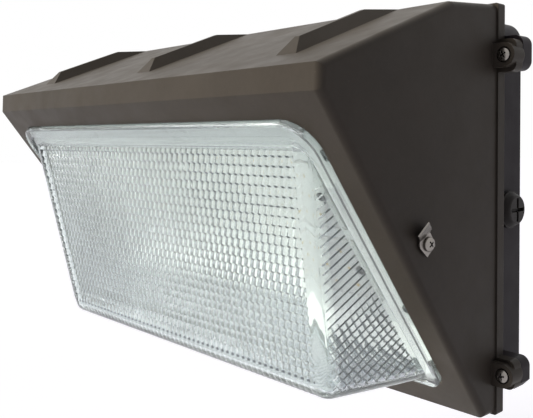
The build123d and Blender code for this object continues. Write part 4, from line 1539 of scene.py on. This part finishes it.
@dataclass
class Studio:
    """Camera at the photograph's angle, a key light, an even sky and a plain pale floor."""

    frame_width: int = 533
    frame_height: int = 418
    focal: float = 708.709
    centre: tuple[float, float] = (338.541, 162.107)
    eye: Point = (399.560, -387.652, 38.658)
    heading: float = 44.571
    dip: float = 2.115
    roll: float = -0.200
    sensor: float = 36.0
    clip: Band = (0.01, 60.0)
    sky: float = 0.07
    sky_colour: Colour = (216, 217, 255)
    key: float = 3.6
    key_colour: Colour = (255, 250, 242)
    key_from: Point = (-0.50, -0.70, 0.50)
    key_spread: float = 50.0
    floor_z: float = -300.0
    floor_reach: float = 9000.0
    floor_tiles: int = 8
    floor_glow: float = 0.65
    floor_colours: tuple[Colour, Colour] = ((196, 196, 208), (201, 201, 213))
    floor_cloud: float = 400.0
    floor_grain: float = 30.0
    floor_roughness: Band = (0.8, 0.9)
    floor_gloss: float = 0.1

    def place_camera(self) -> None:
        """Set the camera from its eye point, heading, dip and roll."""
        heading, dip, roll = (math.radians(a) for a in (self.heading, self.dip, self.roll))
        look = Vector((-math.sin(heading), math.cos(heading), 0.0)) * math.cos(dip)
        look.z = -math.sin(dip)
        level = Vector((math.cos(heading), math.sin(heading), 0.0))
        rise = level.cross(look)
        right = level * math.cos(roll) + rise * math.sin(roll)
        up = rise * math.cos(roll) - level * math.sin(roll)
        camera = bpy.data.cameras.new("photo_camera")
        camera.sensor_fit = "HORIZONTAL"
        camera.sensor_width = self.sensor
        camera.lens = self.focal / self.frame_width * self.sensor
        camera.shift_x = (self.frame_width / 2 - self.centre[0]) / self.frame_width
        camera.shift_y = (self.centre[1] - self.frame_height / 2) / self.frame_width
        camera.clip_start, camera.clip_end = self.clip
        eye = put_in_scene("photo_camera", camera)
        axes = Matrix((right, up, -look)).transposed().to_4x4()
        eye.matrix_world = Matrix.Translation(Vector(self.eye) * MM) @ axes
        bpy.context.scene.camera = eye

    @staticmethod
    def seen_directly(tree: bpy.types.NodeTree) -> Socket:
        """Mask that is 1 for camera, glossy and transmission rays.

        Args:
            tree: Node tree to add it to.

        Returns:
            The mask.
        """
        path = tree.nodes.new("ShaderNodeLightPath")
        total = path.outputs["Is Camera Ray"]
        for name in ("Is Glossy Ray", "Is Transmission Ray"):
            largest = tree.nodes.new("ShaderNodeMath")
            largest.operation = "MAXIMUM"
            tree.links.new(total, largest.inputs[0])
            tree.links.new(path.outputs[name], largest.inputs[1])
            total = largest.outputs["Value"]
        return total

    def light(self) -> None:
        """Set an even sky that looks white, and one soft key light from the upper front left."""
        world = bpy.data.worlds.new("plain_studio")
        world.use_nodes = True
        tree = world.node_tree
        tree.nodes.clear()
        level = tree.nodes.new("ShaderNodeBackground")
        level.inputs["Strength"].default_value = self.sky
        backdrop = tree.nodes.new("ShaderNodeBackground")
        level.inputs["Color"].default_value = shade(self.sky_colour)
        backdrop.inputs["Color"].default_value = (1.0, 1.0, 1.0, 1.0)
        mix = tree.nodes.new("ShaderNodeMixShader")
        output = tree.nodes.new("ShaderNodeOutputWorld")
        tree.links.new(self.seen_directly(tree), mix.inputs[0])
        tree.links.new(level.outputs[0], mix.inputs[1])
        tree.links.new(backdrop.outputs[0], mix.inputs[2])
        tree.links.new(mix.outputs[0], output.inputs["Surface"])
        bpy.context.scene.world = world
        key = bpy.data.lights.new("key_light", "SUN")
        key.energy = self.key
        key.color = shade(self.key_colour)[:3]
        key.angle = math.radians(self.key_spread)
        lamp = put_in_scene("key_light", key)
        lamp.visible_glossy = False
        lamp.matrix_world = Vector(self.key_from).to_track_quat("Z", "Y").to_matrix().to_4x4()

    def lay_floor(self) -> None:
        """Lay a plain pale floor that keeps the object's shadow and glows a little to the eye."""
        work = bmesh.new()
        tiles = self.floor_tiles
        reach = self.floor_reach * MM
        bmesh.ops.create_grid(work, x_segments=tiles, y_segments=tiles, size=reach)
        mesh = bpy.data.meshes.new("studio_floor")
        work.to_mesh(mesh)
        work.free()
        tree = FinishTree("studio_floor_paper")
        first, second = (shade(colour) for colour in self.floor_colours)
        tree.feed("Base Color", tree.blend(tree.noise(self.floor_cloud, 3), first, second))
        tree.feed("Roughness", tree.patches(self.floor_grain, 3, *self.floor_roughness))
        tree.fix(Specular_IOR_Level=self.floor_gloss)
        seen = tree.times(self.seen_directly(tree.tree), self.floor_glow)
        glow = tree.node("ShaderNodeEmission", 0, {"Strength": seen})
        both = tree.node("ShaderNodeAddShader", 0, {0: tree.surface.outputs["BSDF"], 1: glow})
        tree.join(both, tree.output.inputs["Surface"])
        mesh.materials.append(tree.material)
        floor = put_in_scene("studio_floor", mesh)
        floor.location.z = self.floor_z * MM

    def build(self) -> None:
        """Set camera, light, floor and the view's colour transform."""
        self.place_camera()
        self.light()
        self.lay_floor()
        bpy.context.scene.view_settings.view_transform = "Standard"


def main() -> None:
    """Load the frame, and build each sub-assembly."""
    logging.basicConfig(level=logging.INFO, format="%(name)s: %(message)s")
    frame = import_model()
    workshop = Workshop(frame["nodes"])
    for assembly in (RearBox(), FrontHousing(), LightEngine(), Driver()):
        assembly.build(workshop)
        LOG.info("finished %s", type(assembly).__name__)
    Studio().build()


if __name__ == "__main__":
    main()
